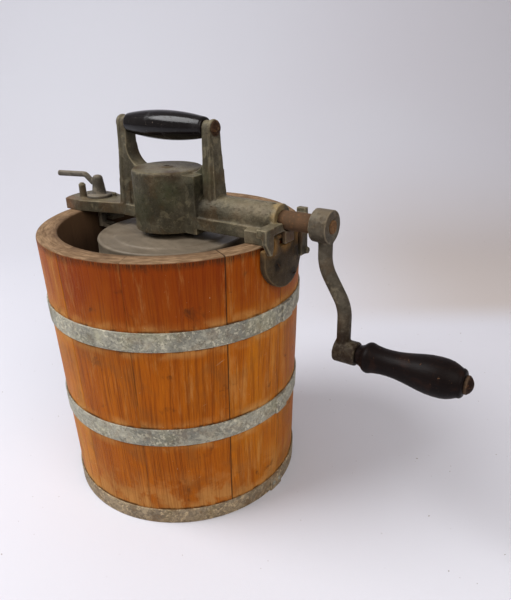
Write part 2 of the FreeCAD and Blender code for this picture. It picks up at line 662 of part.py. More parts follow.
# ------------------------------------------------------------------ what is screwed to the tub
def make_bracket():
    """The plate on the tub's right side, with two ears that hold its pin above the rim."""
    low, high = "(tub_height - bracket_bottom_drop)", "(tub_height - bracket_top_drop)"
    left, right = "(bracket_shift - bracket_half)", "(bracket_shift + bracket_half)"
    body = new_body("bracket")
    sketch = new_sketch(body, "XZ_Plane")
    outline(sketch, [
        ("%s + hoop_fit" % outside(low), low),
        ("%s + hoop_fit + bracket_thick" % outside(low), low),
        ("%s + hoop_fit + bracket_thick" % outside(high), high),
        ("%s + hoop_fit" % outside(high), high),
    ])
    revolve(body, sketch, "V_Axis", "2 * asin((%s + bracket_margin) / rim_radius)" % right, middle=True)
    shield = new_sketch(body, "YZ_Plane", "rim_radius / 2")
    box_outline(shield, "-2 * bracket_half", "%s - shield_rise" % low,
                "2 * bracket_half", "%s + shield_rise" % high)
    curve = "(bracket_half ^ 2 + shield_rise ^ 2) / (2 * shield_rise)"
    outline(shield, [
        (left, "%s + shield_rise" % low),
        (left, "%s + bracket_margin" % high),
        (right, "%s + bracket_margin" % high),
        (right, "%s + shield_rise" % low, curve, "left"),
    ])
    pocket(body, shield, "rim_radius", back=True)
    add_ear(body, "front_ear_inner", "front_ear_outer")
    add_ear(body, "-back_ear_outer", "-back_ear_inner")
    hole = new_sketch(body, "XZ_Plane")
    circle(hole, "pin_radius + run_fit", PIN_X, PIN_Z)
    pocket(body, hole, "4 * bracket_half", middle=True)


def add_ear(body, near, far):
    """One ear, a stem with a round end. near and far are measured towards the front."""
    stem = new_sketch(body, "XZ_Plane", near)
    box_outline(stem, "rim_radius + ear_back", "tub_height - ear_root_drop",
                "rim_radius + ear_front", PIN_Z)
    pad(body, stem, "%s - (%s)" % (far, near))
    end = new_sketch(body, "XZ_Plane", near)
    circle(end, "ear_radius", PIN_X, PIN_Z)
    pad(body, end, "%s - (%s)" % (far, near))


def make_bracket_pin():
    body = new_body("bracket_pin")
    shank = new_sketch(body, "XZ_Plane", "-(back_ear_outer + pin_proud)")
    circle(shank, "pin_radius", PIN_X, PIN_Z)
    pad(body, shank, "back_ear_outer + front_ear_outer + 2 * pin_proud")


def wood_screw():
    head = number("wood_screw_head")
    return domed_pin(head, head * 0.45, number("wood_screw_radius"), number("wood_screw_length"))


def make_bracket_screws():
    screws = []
    for side, drop in ((-1, "screw_high_drop"), (1, "screw_low_drop")):
        height = number("tub_height - " + drop)
        surface = number("%s + hoop_fit + bracket_thick" % outside(height))
        angle = side * math.degrees(math.asin(number("screw_side") / surface))
        screws.append(moved(wood_screw(), outward(surface, angle, height)))
    group("bracket_screws", screws)


KEEPER_TOP = "(tub_height - keeper_drop)"
KEEPER_BOTTOM = "(tub_height - keeper_drop - keeper_height)"


def make_keeper():
    """The lip on the tub's inner wall that the latch hook turns under."""
    lip_top = "(%s + keeper_lip)" % KEEPER_BOTTOM
    body = new_body("latch_keeper", turn=(Vector(0, 0, 1), "keeper_angle"))
    sketch = new_sketch(body, "XZ_Plane")
    outline(sketch, [
        ("%s - hoop_fit" % inside(KEEPER_BOTTOM), KEEPER_BOTTOM),
        ("%s - hoop_fit" % inside(KEEPER_TOP), KEEPER_TOP),
        ("%s - hoop_fit - keeper_plate" % inside(KEEPER_TOP), KEEPER_TOP),
        ("%s - hoop_fit - keeper_plate" % inside(lip_top), lip_top),
        ("%s - hoop_fit - keeper_plate - keeper_reach" % inside(lip_top), lip_top),
        ("%s - hoop_fit - keeper_plate - keeper_reach" % inside(lip_top), KEEPER_BOTTOM),
    ])
    revolve(body, sketch, "V_Axis", "keeper_span", middle=True)
    height = number("(%s + %s) / 2" % (lip_top, KEEPER_TOP))
    surface = number("%s - hoop_fit - keeper_plate" % inside(height))
    head = number("wood_screw_head") * 0.75
    screws = []
    for side in (-1, 1):
        angle = number("keeper_angle + %d * keeper_span / 4" % side)
        pin = domed_pin(head, head * 0.4, number("wood_screw_radius") * 0.8, number("wood_screw_length"))
        screws.append(moved(pin, outward(-surface, angle + 180, height)))
    group("keeper_screws", screws)


def make_floor_pivot():
    turned("floor_pivot", "V_Axis", [
        ("0", BOARD_TOP),
        ("plate_radius", BOARD_TOP),
        ("plate_radius", PLATE_TOP),
        ("pivot_radius", PLATE_TOP),
        ("pivot_radius", PIVOT_TOP),
        ("0", PIVOT_TOP),
    ])
    top = number(PLATE_TOP)
    place = (number("cup_radius") + number("plate_radius")) / 2
    head = number("foot_gap")
    screws = []
    for angle in (90, 210, 330):
        spin = Rotation(Vector(0, 0, 1), angle)
        pin = domed_pin(head, head * 0.6, head * 0.6, number("board_thick"))
        screws.append(moved(pin, Placement(spin.multVec(Vector(place, 0, top)), spin)))
    group("pivot_screws", screws)


# ------------------------------------------------------------------ the can and what is in it
def make_can():
    inner = "(can_radius - can_sheet)"
    turned("can_wall", "V_Axis", [
        ("%s - can_floor" % inner, "%s - can_sheet" % PIVOT_TOP),
        ("can_radius", "%s - can_sheet" % PIVOT_TOP),
        ("can_radius", LID_UNDER),
        (inner, LID_UNDER),
        (inner, PIVOT_TOP),
        ("%s - can_floor" % inner, PIVOT_TOP),
    ])
    disc = "(%s - hoop_fit)" % inner
    web_top = "(%s + cup_web)" % PIVOT_TOP
    floor_top = "(%s + can_floor)" % PIVOT_TOP
    turned("can_bottom", "V_Axis", [
        ("pivot_radius + run_fit", CUP_BOTTOM),
        ("cup_radius", CUP_BOTTOM),
        ("cup_radius", PIVOT_TOP),
        (disc, PIVOT_TOP),
        (disc, floor_top),
        ("cup_radius", floor_top),
        ("cup_radius", CUP_TOP),
        ("dasher_pin_radius + run_fit", CUP_TOP),
        ("dasher_pin_radius + run_fit", web_top),
        ("0", web_top),
        ("0", PIVOT_TOP),
        ("pivot_radius + run_fit", PIVOT_TOP),
    ])


def make_lid():
    hole = "(stem_radius + loose_fit)"
    skirt = "(can_radius + loose_fit)"
    rim = "(can_radius + loose_fit + lid_wall)"
    low_top = "(lid_level - lid_disc_step)"
    body = turned("can_lid", "V_Axis", [
        (hole, LID_UNDER),
        (skirt, LID_UNDER),
        (skirt, "%s - lid_skirt" % LID_UNDER),
        (rim, "%s - lid_skirt" % LID_UNDER),
        (rim, "%s - lid_bead" % low_top, "lid_bead", "right"),
        ("%s - lid_bead" % rim, low_top),
        ("lid_disc_radius", low_top),
        ("lid_disc_radius - lid_disc_step", "lid_level"),
        (hole, "lid_level"),
    ])
    lugs = new_sketch(body, "XY_Plane", "lid_level")
    near, far = "driver_arm_reach - lug_length", "driver_arm_reach"
    inner, outer = "driver_arm_half + lug_gap", "driver_arm_half + lug_gap + lug_thick"
    box_outline(lugs, near, inner, far, outer)
    box_outline(lugs, near, "-(%s)" % outer, far, "-(%s)" % inner)
    box_outline(lugs, "-(%s)" % far, inner, "-(%s)" % near, outer)
    box_outline(lugs, "-(%s)" % far, "-(%s)" % outer, "-(%s)" % near, "-(%s)" % inner)
    pad(body, lugs, "lug_height")


DASHER_BOTTOM = "(%s + 2)" % CUP_TOP


def make_dasher():
    """A flat cast frame round the stem, which ends in a pin below and a square above."""
    body = new_body("dasher_frame")
    plate = new_sketch(body, "XZ_Plane")
    box_outline(plate, "-dasher_half_width", DASHER_BOTTOM, "dasher_half_width", "dasher_level")
    middle_low = "((%s + dasher_level) / 2 - dasher_bar / 2)" % DASHER_BOTTOM
    middle_high = "((%s + dasher_level) / 2 + dasher_bar / 2)" % DASHER_BOTTOM
    for low, high in ((DASHER_BOTTOM, middle_low), (middle_high, "dasher_level")):
        floor = "%s + dasher_bar" % low if low == DASHER_BOTTOM else low
        ceiling = "%s - dasher_bar" % high if high == "dasher_level" else high
        box_outline(plate, "-(dasher_half_width - dasher_bar)", floor, "-stem_radius", ceiling)
        box_outline(plate, "stem_radius", floor, "dasher_half_width - dasher_bar", ceiling)
    pad(body, plate, "dasher_thick", middle=True)
    stem = new_sketch(body, "XZ_Plane")
    outline(stem, [
        ("0", "%s + cup_web" % PIVOT_TOP),
        ("dasher_pin_radius", "%s + cup_web" % PIVOT_TOP),
        ("dasher_pin_radius", "%s + 1" % CUP_TOP),
        ("stem_radius", "%s + 1" % CUP_TOP),
        ("stem_radius", SOCKET_BOTTOM),
        ("0", SOCKET_BOTTOM),
    ])
    revolve(body, stem, "V_Axis")
    square = new_sketch(body, "XY_Plane", SOCKET_BOTTOM)
    box_outline(square, "-square_size / 2", "-square_size / 2", "square_size / 2", "square_size / 2")
    pad(body, square, "square_length")


SCRAPER_LOW = "(%s + scraper_inset)" % DASHER_BOTTOM
SCRAPER_HIGH = "(dasher_level - scraper_inset)"


def make_scrapers():
    """Wooden blades on opposite faces of the dasher's outer bars, almost touching the can."""
    sweep = "(can_radius - can_sheet - scraper_gap)"
    reach = "sqrt(%s ^ 2 - (dasher_thick / 2 + scraper_thick) ^ 2)" % sweep
    pins = []
    for name, angle in (("scraper_right", 0), ("scraper_left", 180)):
        body = new_body(name, turn=(Vector(0, 0, 1), str(angle)))
        blade = new_sketch(body, "XZ_Plane", "-dasher_thick / 2")
        inner = "dasher_half_width - scraper_overlap"
        outline(blade, [
            (inner, SCRAPER_LOW),
            (reach, "%s + scraper_overlap" % SCRAPER_LOW),
            (reach, "%s - scraper_overlap" % SCRAPER_HIGH),
            (inner, SCRAPER_HIGH),
        ])
        pad(body, blade, "scraper_thick", back=True)
        across = number("dasher_half_width - scraper_overlap / 2")
        face = number("dasher_thick / 2 + scraper_thick")
        for share in (0.15, 0.5, 0.85):
            height = number(SCRAPER_LOW) + share * number("%s - %s" % (SCRAPER_HIGH, SCRAPER_LOW))
            head = number("scraper_rivet_head")
            pin = domed_pin(head, head / 2, number("scraper_rivet"), face)
            lie = Placement(Vector(across, face, height), Rotation(Vector(1, 0, 0), -90))
            spin = Placement(Vector(), Rotation(Vector(0, 0, 1), angle))
            pins.append(moved(pin, spin.multiply(lie)))
    group("scraper_rivets", pins)


# ------------------------------------------------------------------ the gear frame
def make_gear_frame():
    body = new_body("gear_frame")
    add_cross_bar(body)
    add_uprights(body)
    add_housing(body)
    add_barrel(body)
    add_end_head(body)
    hollow_housing(body)
    add_oil_holes(body)
    drill_frame(body)


def add_cross_bar(body):
    bar = new_sketch(body, "XY_Plane", "tub_height")
    left_flare, right_flare = "-(%s - flare)" % LEFT_REACH, "(%s - flare)" % RIGHT_REACH
    outline(bar, [
        (RIGHT_REACH, "-right_half"),
        (RIGHT_REACH, "right_half"),
        (right_flare, "right_half"),
        ("%s - flare_step" % right_flare, "right_waist"),
        (RIGHT_OUTER, "right_waist"),
        ("-%s" % LEFT_OUTER, "left_waist"),
        (left_flare, "left_half"),
        ("-%s" % LEFT_REACH, "left_half", "end_bow", "right"),
        ("-%s" % LEFT_REACH, "-left_half"),
        (left_flare, "-left_half"),
        ("-%s" % LEFT_OUTER, "-left_waist"),
        (RIGHT_OUTER, "-right_waist"),
        ("%s - flare_step" % right_flare, "-right_waist"),
        (right_flare, "-right_half"),
    ])
    pad(body, bar, "bar_thick")


def add_uprights(body):
    """The carry handle's uprights, each of layers stacked outwards, and the webs beside them."""
    bead = "(face_thick + groove_thick)"
    layers = [
        ("0", "face_thick", "face_inset"),
        ("face_thick", bead, "groove_inset"),
        (bead, "(%s + bead_thick)" % bead, "0"),
        ("(%s + bead_thick)" % bead, "upright_foot_thick", "outer_inset"),
    ]
    for side, inner in ((1, "upright_inner"), (-1, "upright_left")):
        for near, far, inset in layers:
            start = "%d * (%s + %s)" % (side, inner, near)
            add_layer(body, start, "%s - %s" % (far, near), inset, side < 0)
        slope_upright(body, side, inner)
    add_web(body, -1, "upright_left", "left_web_half")
    add_web(body, 1, "upright_inner", "right_web_half")


def add_layer(body, start, thick, inset, back):
    foot, top = "(upright_foot_half - %s)" % inset, "(upright_top_radius - %s)" % inset
    plate = new_sketch(body, "YZ_Plane", start)
    outline(plate, [("-" + foot, BAR_TOP), (foot, BAR_TOP), (top, "grip_level"), ("-" + top, "grip_level")])
    pad(body, plate, thick, back=back)
    cap = new_sketch(body, "YZ_Plane", start)
    circle(cap, top, "0", "grip_level")
    pad(body, cap, thick, back=back)


def slope_upright(body, side, inner):
    """Cuts the outer face so that the upright is thin at the top and thick at its foot."""
    thin = "%d * (%s + upright_thick)" % (side, inner)
    thick = "%d * (%s + upright_foot_thick)" % (side, inner)
    beyond = "%d * (%s + 2 * upright_foot_thick)" % (side, inner)
    above = "(grip_level + 2 * upright_top_radius)"
    wedge = new_sketch(body, "XZ_Plane")
    outline(wedge, [
        (thin, "slope_level"),
        (thick, BAR_TOP),
        (beyond, BAR_TOP),
        (beyond, above),
        (thin, above),
    ])
    pocket(body, wedge, "4 * upright_foot_half", middle=True)


def add_web(body, side, inner, half):
    low, high = "(drum_level - drum_edge)", "(drum_level - drum_edge + web_curve)"
    start = "(%s - web_curve - web_lap)" % inner
    lap = "(%s + web_lap)" % inner
    hollow = "left" if side > 0 else "right"
    sign = "" if side > 0 else "-"
    points = [
        (sign + start, BAR_TOP),
        (sign + lap, BAR_TOP),
        (sign + lap, high),
        (sign + inner, high, "web_curve", hollow),
        (sign + "(%s - web_curve)" % inner, low),
        (sign + start, low),
    ]
    web = new_sketch(body, "XZ_Plane")
    outline(web, points)
    pad(body, web, "2 * " + half, middle=True)


def add_housing(body):
    drum = new_sketch(body, "XZ_Plane")
    outline(drum, [
        ("0", "drum_floor"),
        ("drum_radius", "drum_floor"),
        ("drum_radius", "drum_level - drum_edge", "drum_edge", "right"),
        ("drum_radius - drum_edge", "drum_level"),
        ("0", "drum_level"),
    ])
    revolve(body, drum, "V_Axis")
    neck = new_sketch(body, "XY_Plane", "drum_floor")
    box_outline(neck, "drum_wall", "-neck_half", "neck_reach", "neck_half")
    pad(body, neck, "drum_level - drum_edge - drum_floor")


def add_barrel(body):
    start, length = CAVITY_RADIUS, "%s - %s" % (RIGHT_REACH, CAVITY_RADIUS)
    tube = new_sketch(body, "YZ_Plane", start)
    circle(tube, "barrel_radius", "0", "shaft_level")
    pad(body, tube, length)
    saddle = new_sketch(body, "YZ_Plane", start)
    box_outline(saddle, "-barrel_radius", "tub_height", "barrel_radius", "shaft_level")
    pad(body, saddle, length)


def add_end_head(body):
    """The head across the right end: two arms in front of the bracket and a tongue between them
    that is slotted for the bracket's pin. The hollows beside the tongue clear the bracket's ears."""
    under, top = "(tub_height + head_under)", "(tub_height + head_top)"
    lug_top = "(tub_height + head_top + rear_lug_rise)"
    back, front = "(%s - head_lap)" % RIGHT_REACH, "(rim_radius + head_front)"
    add_plate(body, back, front, flat_outline("-head_side", "head_far_side", under, top))
    add_plate(body, back, front, flat_outline("rear_lug_start", "head_far_side", under, lug_top))
    carve_hollow(body, "-front_arm_inner", "-front_cavity_near")
    carve_hollow(body, "back_cavity_near", "back_arm_inner")
    tongue_low = "tub_height - tongue_drop"
    add_plate(body, back, front,
              flat_outline("-tongue_front_side", "tongue_back_side", "tub_height + tongue_rise", under))
    add_plate(body, "%s + pin_radius + loose_fit" % PIN_X, front,
              flat_outline("-tongue_front_side", "tongue_back_side", tongue_low, under))
    slot = new_sketch(body, "XZ_Plane")
    half = "(pin_radius + loose_fit)"
    box_outline(slot, "%s - %s" % (PIN_X, half), tongue_low, "%s + %s" % (PIN_X, half),
                "%s + %s" % (PIN_Z, half))
    pocket(body, slot, "2 * back_cavity_near", middle=True)
    add_plate(body, "rim_radius + front_arm_back", "%s + arm_proud" % front, [
        ("-front_arm_outer", top),
        ("-front_arm_outer", "tub_height + front_arm_shoulder"),
        ("-front_tip_outer", "tub_height - front_arm_drop"),
        ("-front_tip_inner", "tub_height - front_arm_drop"),
        ("-front_arm_inner", "tub_height"),
        ("-front_arm_inner", top),
    ])
    add_plate(body, "rim_radius + back_arm_back", "%s + arm_proud" % front,
              flat_outline("back_arm_inner", "back_arm_outer", "tub_height - back_arm_drop", top))
    knob = new_sketch(body, "YZ_Plane", front)
    circle(knob, "back_knob_radius", "back_knob_side", "tub_height - back_knob_drop")
    pad(body, knob, "arm_proud + back_knob_proud")
    notch = new_sketch(body, "YZ_Plane", RIGHT_REACH)
    circle(notch, "sleeve_radius + 1", "0", "shaft_level")
    pocket(body, notch, "2 * head_front", back=True)


def add_plate(body, start, end, points):
    """A pad along X from start to end."""
    sketch = new_sketch(body, "YZ_Plane", start)
    outline(sketch, points)
    pad(body, sketch, "%s - (%s)" % (end, start))


def flat_outline(near, far, low, high):
    return [(near, low), (far, low), (far, high), (near, high)]


def carve_hollow(body, near, far):
    """A hollow in the underside of the bar's end, open towards the bracket."""
    sketch = new_sketch(body, "XY_Plane", "tub_height")
    box_outline(sketch, "rim_radius - cavity_start", near, "rim_radius + head_front", far)
    pocket(body, sketch, "head_under", back=True)


def hollow_housing(body):
    """The gear space, the ledge for its cover, three screw bosses and the square socket."""
    space = new_sketch(body, "XY_Plane", "drum_floor")
    circle(space, CAVITY_RADIUS)
    pocket(body, space, "%s - drum_floor" % CAVITY_TOP, back=True)
    ledge = new_sketch(body, "XY_Plane", "drum_floor")
    circle(ledge, "drum_radius - cover_lip")
    pocket(body, ledge, "cover_thick", back=True)
    bosses = new_sketch(body, "XY_Plane", "drum_floor + cover_thick")
    for x, y in screw_places():
        circle(bosses, "boss_radius", x, y)
    pad(body, bosses, "boss_length")
    holes = new_sketch(body, "XY_Plane", "drum_floor + cover_thick")
    for x, y in screw_places():
        circle(holes, "small_screw + snug_fit", x, y)
    pocket(body, holes, "small_screw_length", back=True)
    socket = new_sketch(body, "XY_Plane", CAVITY_TOP)
    circle(socket, "square_size / 2 + square_fit + socket_wall")
    pad(body, socket, "%s - %s" % (CAVITY_TOP, SOCKET_BOTTOM), back=True)
    square = new_sketch(body, "XY_Plane", SOCKET_BOTTOM)
    half = "(square_size / 2 + square_fit)"
    box_outline(square, "-" + half, "-" + half, half, half)
    pocket(body, square, "square_length + square_fit", back=True)


def screw_places():
    """Centres of the three cover screws, clear of the pinion."""
    return [("0", "boss_circle"), ("-boss_circle", "0"), ("0", "-boss_circle")]


def add_oil_holes(body):
    ring = new_sketch(body, "XY_Plane", "drum_level")
    circle(ring, "oil_ring_radius")
    pad(body, ring, "oil_ring_rise")
    top = new_sketch(body, "XY_Plane", "drum_level + oil_ring_rise")
    circle(top, "oil_radius")
    pocket(body, top, "oil_ring_rise + drum_roof")
    barrel = new_sketch(body, "XY_Plane", "shaft_level + barrel_radius")
    circle(barrel, "oil_radius", "%s - flare / 3" % RIGHT_REACH, "0")
    pocket(body, barrel, "barrel_radius")


def drill_frame(body):
    """Bores for the crankshaft, the grip's bolt and the latch, and the latch's stop pegs."""
    shaft = new_sketch(body, "YZ_Plane", RIGHT_REACH)
    circle(shaft, "shaft_radius + run_fit", "0", "shaft_level")
    pocket(body, shaft, "%s - %s / 2" % (RIGHT_REACH, CAVITY_RADIUS))
    bolt = new_sketch(body, "YZ_Plane")
    circle(bolt, "grip_bolt_radius + run_fit", "0", "grip_level")
    pocket(body, bolt, "4 * %s" % RIGHT_OUTER, middle=True)
    pegs = [
        ("peg_radius", "peg_circle", "peg_height"),
        ("tall_peg_radius", "-tall_peg_circle", "tall_peg_height - tall_peg_crown"),
        ("tall_peg_radius - tall_peg_crown", "-tall_peg_circle", "tall_peg_height"),
    ]
    for radius, away, height in pegs:
        peg = new_sketch(body, "XY_Plane", BAR_TOP)
        circle(peg, radius, "-%s + %s * cos(peg_angle)" % (LATCH_PIVOT, away), "%s * sin(peg_angle)" % away)
        pad(body, peg, height)
    latch = new_sketch(body, "XY_Plane", BAR_TOP)
    circle(latch, "latch_spindle_radius + run_fit", "-" + LATCH_PIVOT, "0")
    pocket(body, latch, "bar_thick")


def make_cover():
    """The plate under the housing. Its middle hole is the can gear's bearing."""
    body = new_body("gear_cover")
    plate = new_sketch(body, "XY_Plane", "drum_floor")
    circle(plate, "drum_radius - cover_lip - hoop_fit")
    circle(plate, "%s + run_fit" % HUB_OUTER)
    for x, y in screw_places():
        circle(plate, "small_screw + snug_fit", x, y)
    pad(body, plate, "cover_thick")
    seats = new_sketch(body, "XY_Plane", "drum_floor")
    for x, y in screw_places():
        circle(seats, "small_head + hoop_fit", x, y)
    pocket(body, seats, "small_head_thick", back=True)
    screws = []
    for x, y in screw_places():
        foot = Vector(number(x), number(y), number("drum_floor"))
        head = Part.makeCylinder(number("small_head"), number("small_head_thick"), foot)
        length = number("cover_thick + small_screw_length - 1")
        screws.append(head.fuse(Part.makeCylinder(number("small_screw"), length, foot)).removeSplitter())
    group("cover_screws", screws)


def make_carry_grip():
    rise = "(grip_mid_radius - grip_end_radius)"
    half = "((upright_inner + upright_left) / 2)"
    curve = "(%s ^ 2 + %s ^ 2) / (2 * %s)" % (half, rise, rise)
    bore = "grip_bolt_radius + run_fit"
    turned("carry_grip", "H_Axis", [
        ("-upright_left", bore),
        ("-upright_left", "grip_end_radius", curve, "left"),
        ("upright_inner", "grip_end_radius"),
        ("upright_inner", bore),
    ], ("0", "0", "grip_level"))
    dome = "(grip_bolt_head ^ 2 + grip_head_rise ^ 2) / (2 * grip_head_rise)"
    left, right = "(upright_left + upright_thick)", "(upright_inner + upright_thick)"
    turned("carry_grip_bolt", "H_Axis", [
        ("-(%s + grip_head_rise)" % left, "0", dome, "left"),
        ("-%s" % left, "grip_bolt_head"),
        ("-%s" % left, "grip_bolt_radius"),
        (right, "grip_bolt_radius"),
        (right, "grip_bolt_head", dome, "left"),
        ("%s + grip_head_rise" % right, "0"),
    ], ("0", "0", "grip_level"))


# ------------------------------------------------------------------ the crank
def make_crankshaft():
    on_axis = ("0", "0", "shaft_level")
    turned("crankshaft", "H_Axis", [
        ("shaft_inner_end", "0"),
        ("shaft_inner_end", "shaft_radius"),
        ("%s + shaft_proud - 0.5" % BOSS_FACE, "shaft_radius"),
        ("%s + shaft_proud" % BOSS_FACE, "shaft_radius - 0.5"),
        ("%s + shaft_proud" % BOSS_FACE, "0"),
    ], on_axis)
    turned("shaft_sleeve", "H_Axis", [
        (SLEEVE_START, "shaft_radius + snug_fit"),
        (SLEEVE_START, "sleeve_radius"),
        (BOSS_START, "sleeve_radius"),
        (BOSS_START, "shaft_radius + snug_fit"),
    ], on_axis)


def make_crank_arm():
    body = new_body("crank_arm")
    boss = new_sketch(body, "YZ_Plane", BOSS_START)
    circle(boss, "crank_boss_radius", "0", "shaft_level")
    pad(body, boss, "crank_boss_length")
    top = "(%s - crank_arm_radius)" % BOSS_FACE
    path = new_sketch(body, "XZ_Plane")
    outline(path, s_bend(top, "shaft_level", "crank_bend_start", "crank_bend", "crank_bend_run",
                         "crank_curve", KNOB_HEIGHT), closed=False)
    section = new_sketch(body, "XY_Plane", "shaft_level")
    circle(section, "crank_arm_radius", top, "0")
    sweep(body, section, path)
    elbow = new_sketch(body, "YZ_Plane", ELBOW_INNER)
    circle(elbow, "elbow_radius", "0", KNOB_HEIGHT)
    pad(body, elbow, "elbow_length")
    bore = new_sketch(body, "YZ_Plane", "%s - 1" % BOSS_START)
    circle(bore, "shaft_radius + snug_fit", "0", "shaft_level")
    pocket(body, bore, "crank_boss_length + 2", back=True)
    hole = new_sketch(body, "YZ_Plane", "%s - 1" % ELBOW_INNER)
    circle(hole, "spindle_radius + snug_fit", "0", KNOB_HEIGHT)
    pocket(body, hole, "elbow_length + 2", back=True)


def sweep(body, section, path):
    pipe = body.newObject("PartDesign::AdditivePipe", body.Name + "_pipe")
    pipe.Profile = section
    pipe.Spine = (path, ["Edge%d" % (i + 1) for i in range(path.GeometryCount)])
    doc.recompute()
    return pipe


def make_knob():
    at_knob = ("0", "0", KNOB_HEIGHT)
    bore = "spindle_radius + loose_fit"
    turned("crank_knob", "H_Axis", [
        (KNOB_START, bore),
        (KNOB_START, "knob_neck_radius"),
        ("%s + knob_flare_place" % KNOB_START, "knob_flare_radius"),
        ("%s + knob_flare_place + knob_flare_width" % KNOB_START, "knob_flare_radius",
         "knob_waist_curve", "right"),
        ("%s + knob_shoulder_place" % KNOB_START, "knob_shoulder_radius", "knob_bulb_curve", "left"),
        ("%s - knob_round" % KNOB_END, "knob_crown_radius"),
        (KNOB_END, "knob_end_radius"),
        (KNOB_END, bore),
    ], at_knob)
    seat = "(%s + loose_fit)" % KNOB_END
    dome = "(spindle_head_radius ^ 2 + (spindle_head_length - 2) ^ 2) / (2 * (spindle_head_length - 2))"
    turned("knob_spindle", "H_Axis", [
        ("%s - spindle_rivet" % ELBOW_INNER, "0"),
        ("%s - spindle_rivet" % ELBOW_INNER, "spindle_radius"),
        (ELBOW_INNER, "spindle_radius + spindle_rivet"),
        (ELBOW_INNER, "spindle_radius"),
        (seat, "spindle_radius"),
        (seat, "spindle_head_radius"),
        ("%s + 2" % seat, "spindle_head_radius", dome, "left"),
        ("%s + spindle_head_length" % seat, "0"),
    ], at_knob)


# ------------------------------------------------------------------ bevel gears
INNER_SHARE = "(1 - tooth_face)"


def tooth(body, root, tip, pitch, share):
    """A tooth that shrinks towards the crossing of the axes, lofted along X. root, tip and pitch
    are its heights at the outer end, measured from the shaft axis."""
    half = "tooth_share * pi * tooth_module / 2"
    slope = "tan(20)"
    sections = []
    for scale in ("1", share):
        sketch = new_sketch(body, "YZ_Plane", "%s * %s" % (GEAR_PITCH, scale))
        wide = "(%s + abs(%s - %s) * %s) * %s" % (half, root, pitch, slope, scale)
        thin = "(%s - abs(%s - %s) * %s) * %s" % (half, tip, pitch, slope, scale)
        low, high = "(%s) * %s" % (root, scale), "(%s) * %s" % (tip, scale)
        outline(sketch, [("-" + wide, low), (wide, low), (thin, high), ("-" + thin, high)])
        sections.append(sketch)
    loft = body.newObject("PartDesign::AdditiveLoft", body.Name + "_tooth")
    loft.Profile = sections[0]
    loft.Sections = [sections[1]]
    doc.recompute()
    return loft


def make_pinion():
    body = new_body("bevel_pinion", ("0", "0", "shaft_level"), (Vector(1, 0, 0), "180 / pinion_teeth"))
    root = "(%s - tooth_root * tooth_module)" % PINION_PITCH
    back = "(%s + pinion_hub_length)" % GEAR_PITCH
    blank = new_sketch(body, "XZ_Plane")
    bore = "shaft_radius + snug_fit"
    outline(blank, [
        ("%s * %s" % (GEAR_PITCH, INNER_SHARE), bore),
        ("%s * %s" % (GEAR_PITCH, INNER_SHARE), "%s * %s" % (root, INNER_SHARE)),
        (GEAR_PITCH, root),
        (GEAR_PITCH, "pinion_hub_radius"),
        (back, "pinion_hub_radius"),
        (back, bore),
    ])
    revolve(body, blank, "H_Axis")
    tip = "%s + tooth_tip * tooth_module" % PINION_PITCH
    one = tooth(body, root + " - 0.5", tip, PINION_PITCH, INNER_SHARE)
    polar(body, [one], "X_Axis", int(number("pinion_teeth")))
    middle = "(%s + pinion_hub_length / 2)" % GEAR_PITCH
    hole = new_sketch(body, "XY_Plane")
    circle(hole, "cross_pin_radius + snug_fit", middle, "0")
    pocket(body, hole, "4 * pinion_hub_radius", middle=True)
    pin = new_body("pinion_pin", ("0", "0", "shaft_level"), (Vector(1, 0, 0), "180 / pinion_teeth"))
    shank = new_sketch(pin, "XY_Plane")
    circle(shank, "cross_pin_radius", middle, "0")
    pad(pin, shank, "2 * pinion_hub_radius - 1", middle=True)


def make_can_gear():
    body = new_body("can_gear", ("0", "0", "shaft_level"))
    root = "(%s + tooth_root * tooth_module)" % PINION_PITCH
    steep = "(%s / %s)" % (root, GEAR_PITCH)
    inner = "(%s * %s)" % (GEAR_PITCH, INNER_SHARE)
    rim = "(%s + gear_rim)" % GEAR_PITCH
    bore = "stem_radius + loose_fit"
    hub_end = "%s - shaft_level" % DRIVER_BOTTOM
    seat = "(drum_floor + cover_thick - shaft_level)"
    blank = new_sketch(body, "XZ_Plane")
    outline(blank, [
        (bore, hub_end),
        (HUB_OUTER, hub_end),
        (HUB_OUTER, seat),
        ("%s + hub_collar" % HUB_OUTER, seat),
        ("%s + hub_collar" % HUB_OUTER, "%s + hub_collar" % seat),
        (HUB_OUTER, "%s + hub_collar" % seat),
        (HUB_OUTER, "%s * %s" % (steep, inner)),
        (inner, "%s * %s" % (steep, inner)),
        (GEAR_PITCH, root),
        (rim, "%s + gear_rim / 2" % root),
        (rim, "gear_back"),
        (bore, "gear_back"),
    ])
    revolve(body, blank, "V_Axis")
    tip = "%s - tooth_tip * tooth_module" % PINION_PITCH
    one = tooth(body, root + " + 0.3", tip, PINION_PITCH, INNER_SHARE)
    polar(body, [one], "Z_Axis", int(number("gear_teeth")))
    doc.recompute()


def make_driver():
    body = new_body("can_driver")
    shape = new_sketch(body, "XY_Plane", DRIVER_BOTTOM)
    circle(shape, "driver_radius")
    pad(body, shape, "driver_thick")
    arms = new_sketch(body, "XY_Plane", DRIVER_BOTTOM)
    box_outline(arms, "-driver_arm_reach", "-driver_arm_half", "driver_arm_reach", "driver_arm_half")
    pad(body, arms, "driver_thick")
    bore = new_sketch(body, "XY_Plane", DRIVER_BOTTOM)
    circle(bore, "%s + snug_fit" % HUB_OUTER)
    pocket(body, bore, "driver_thick", back=True)


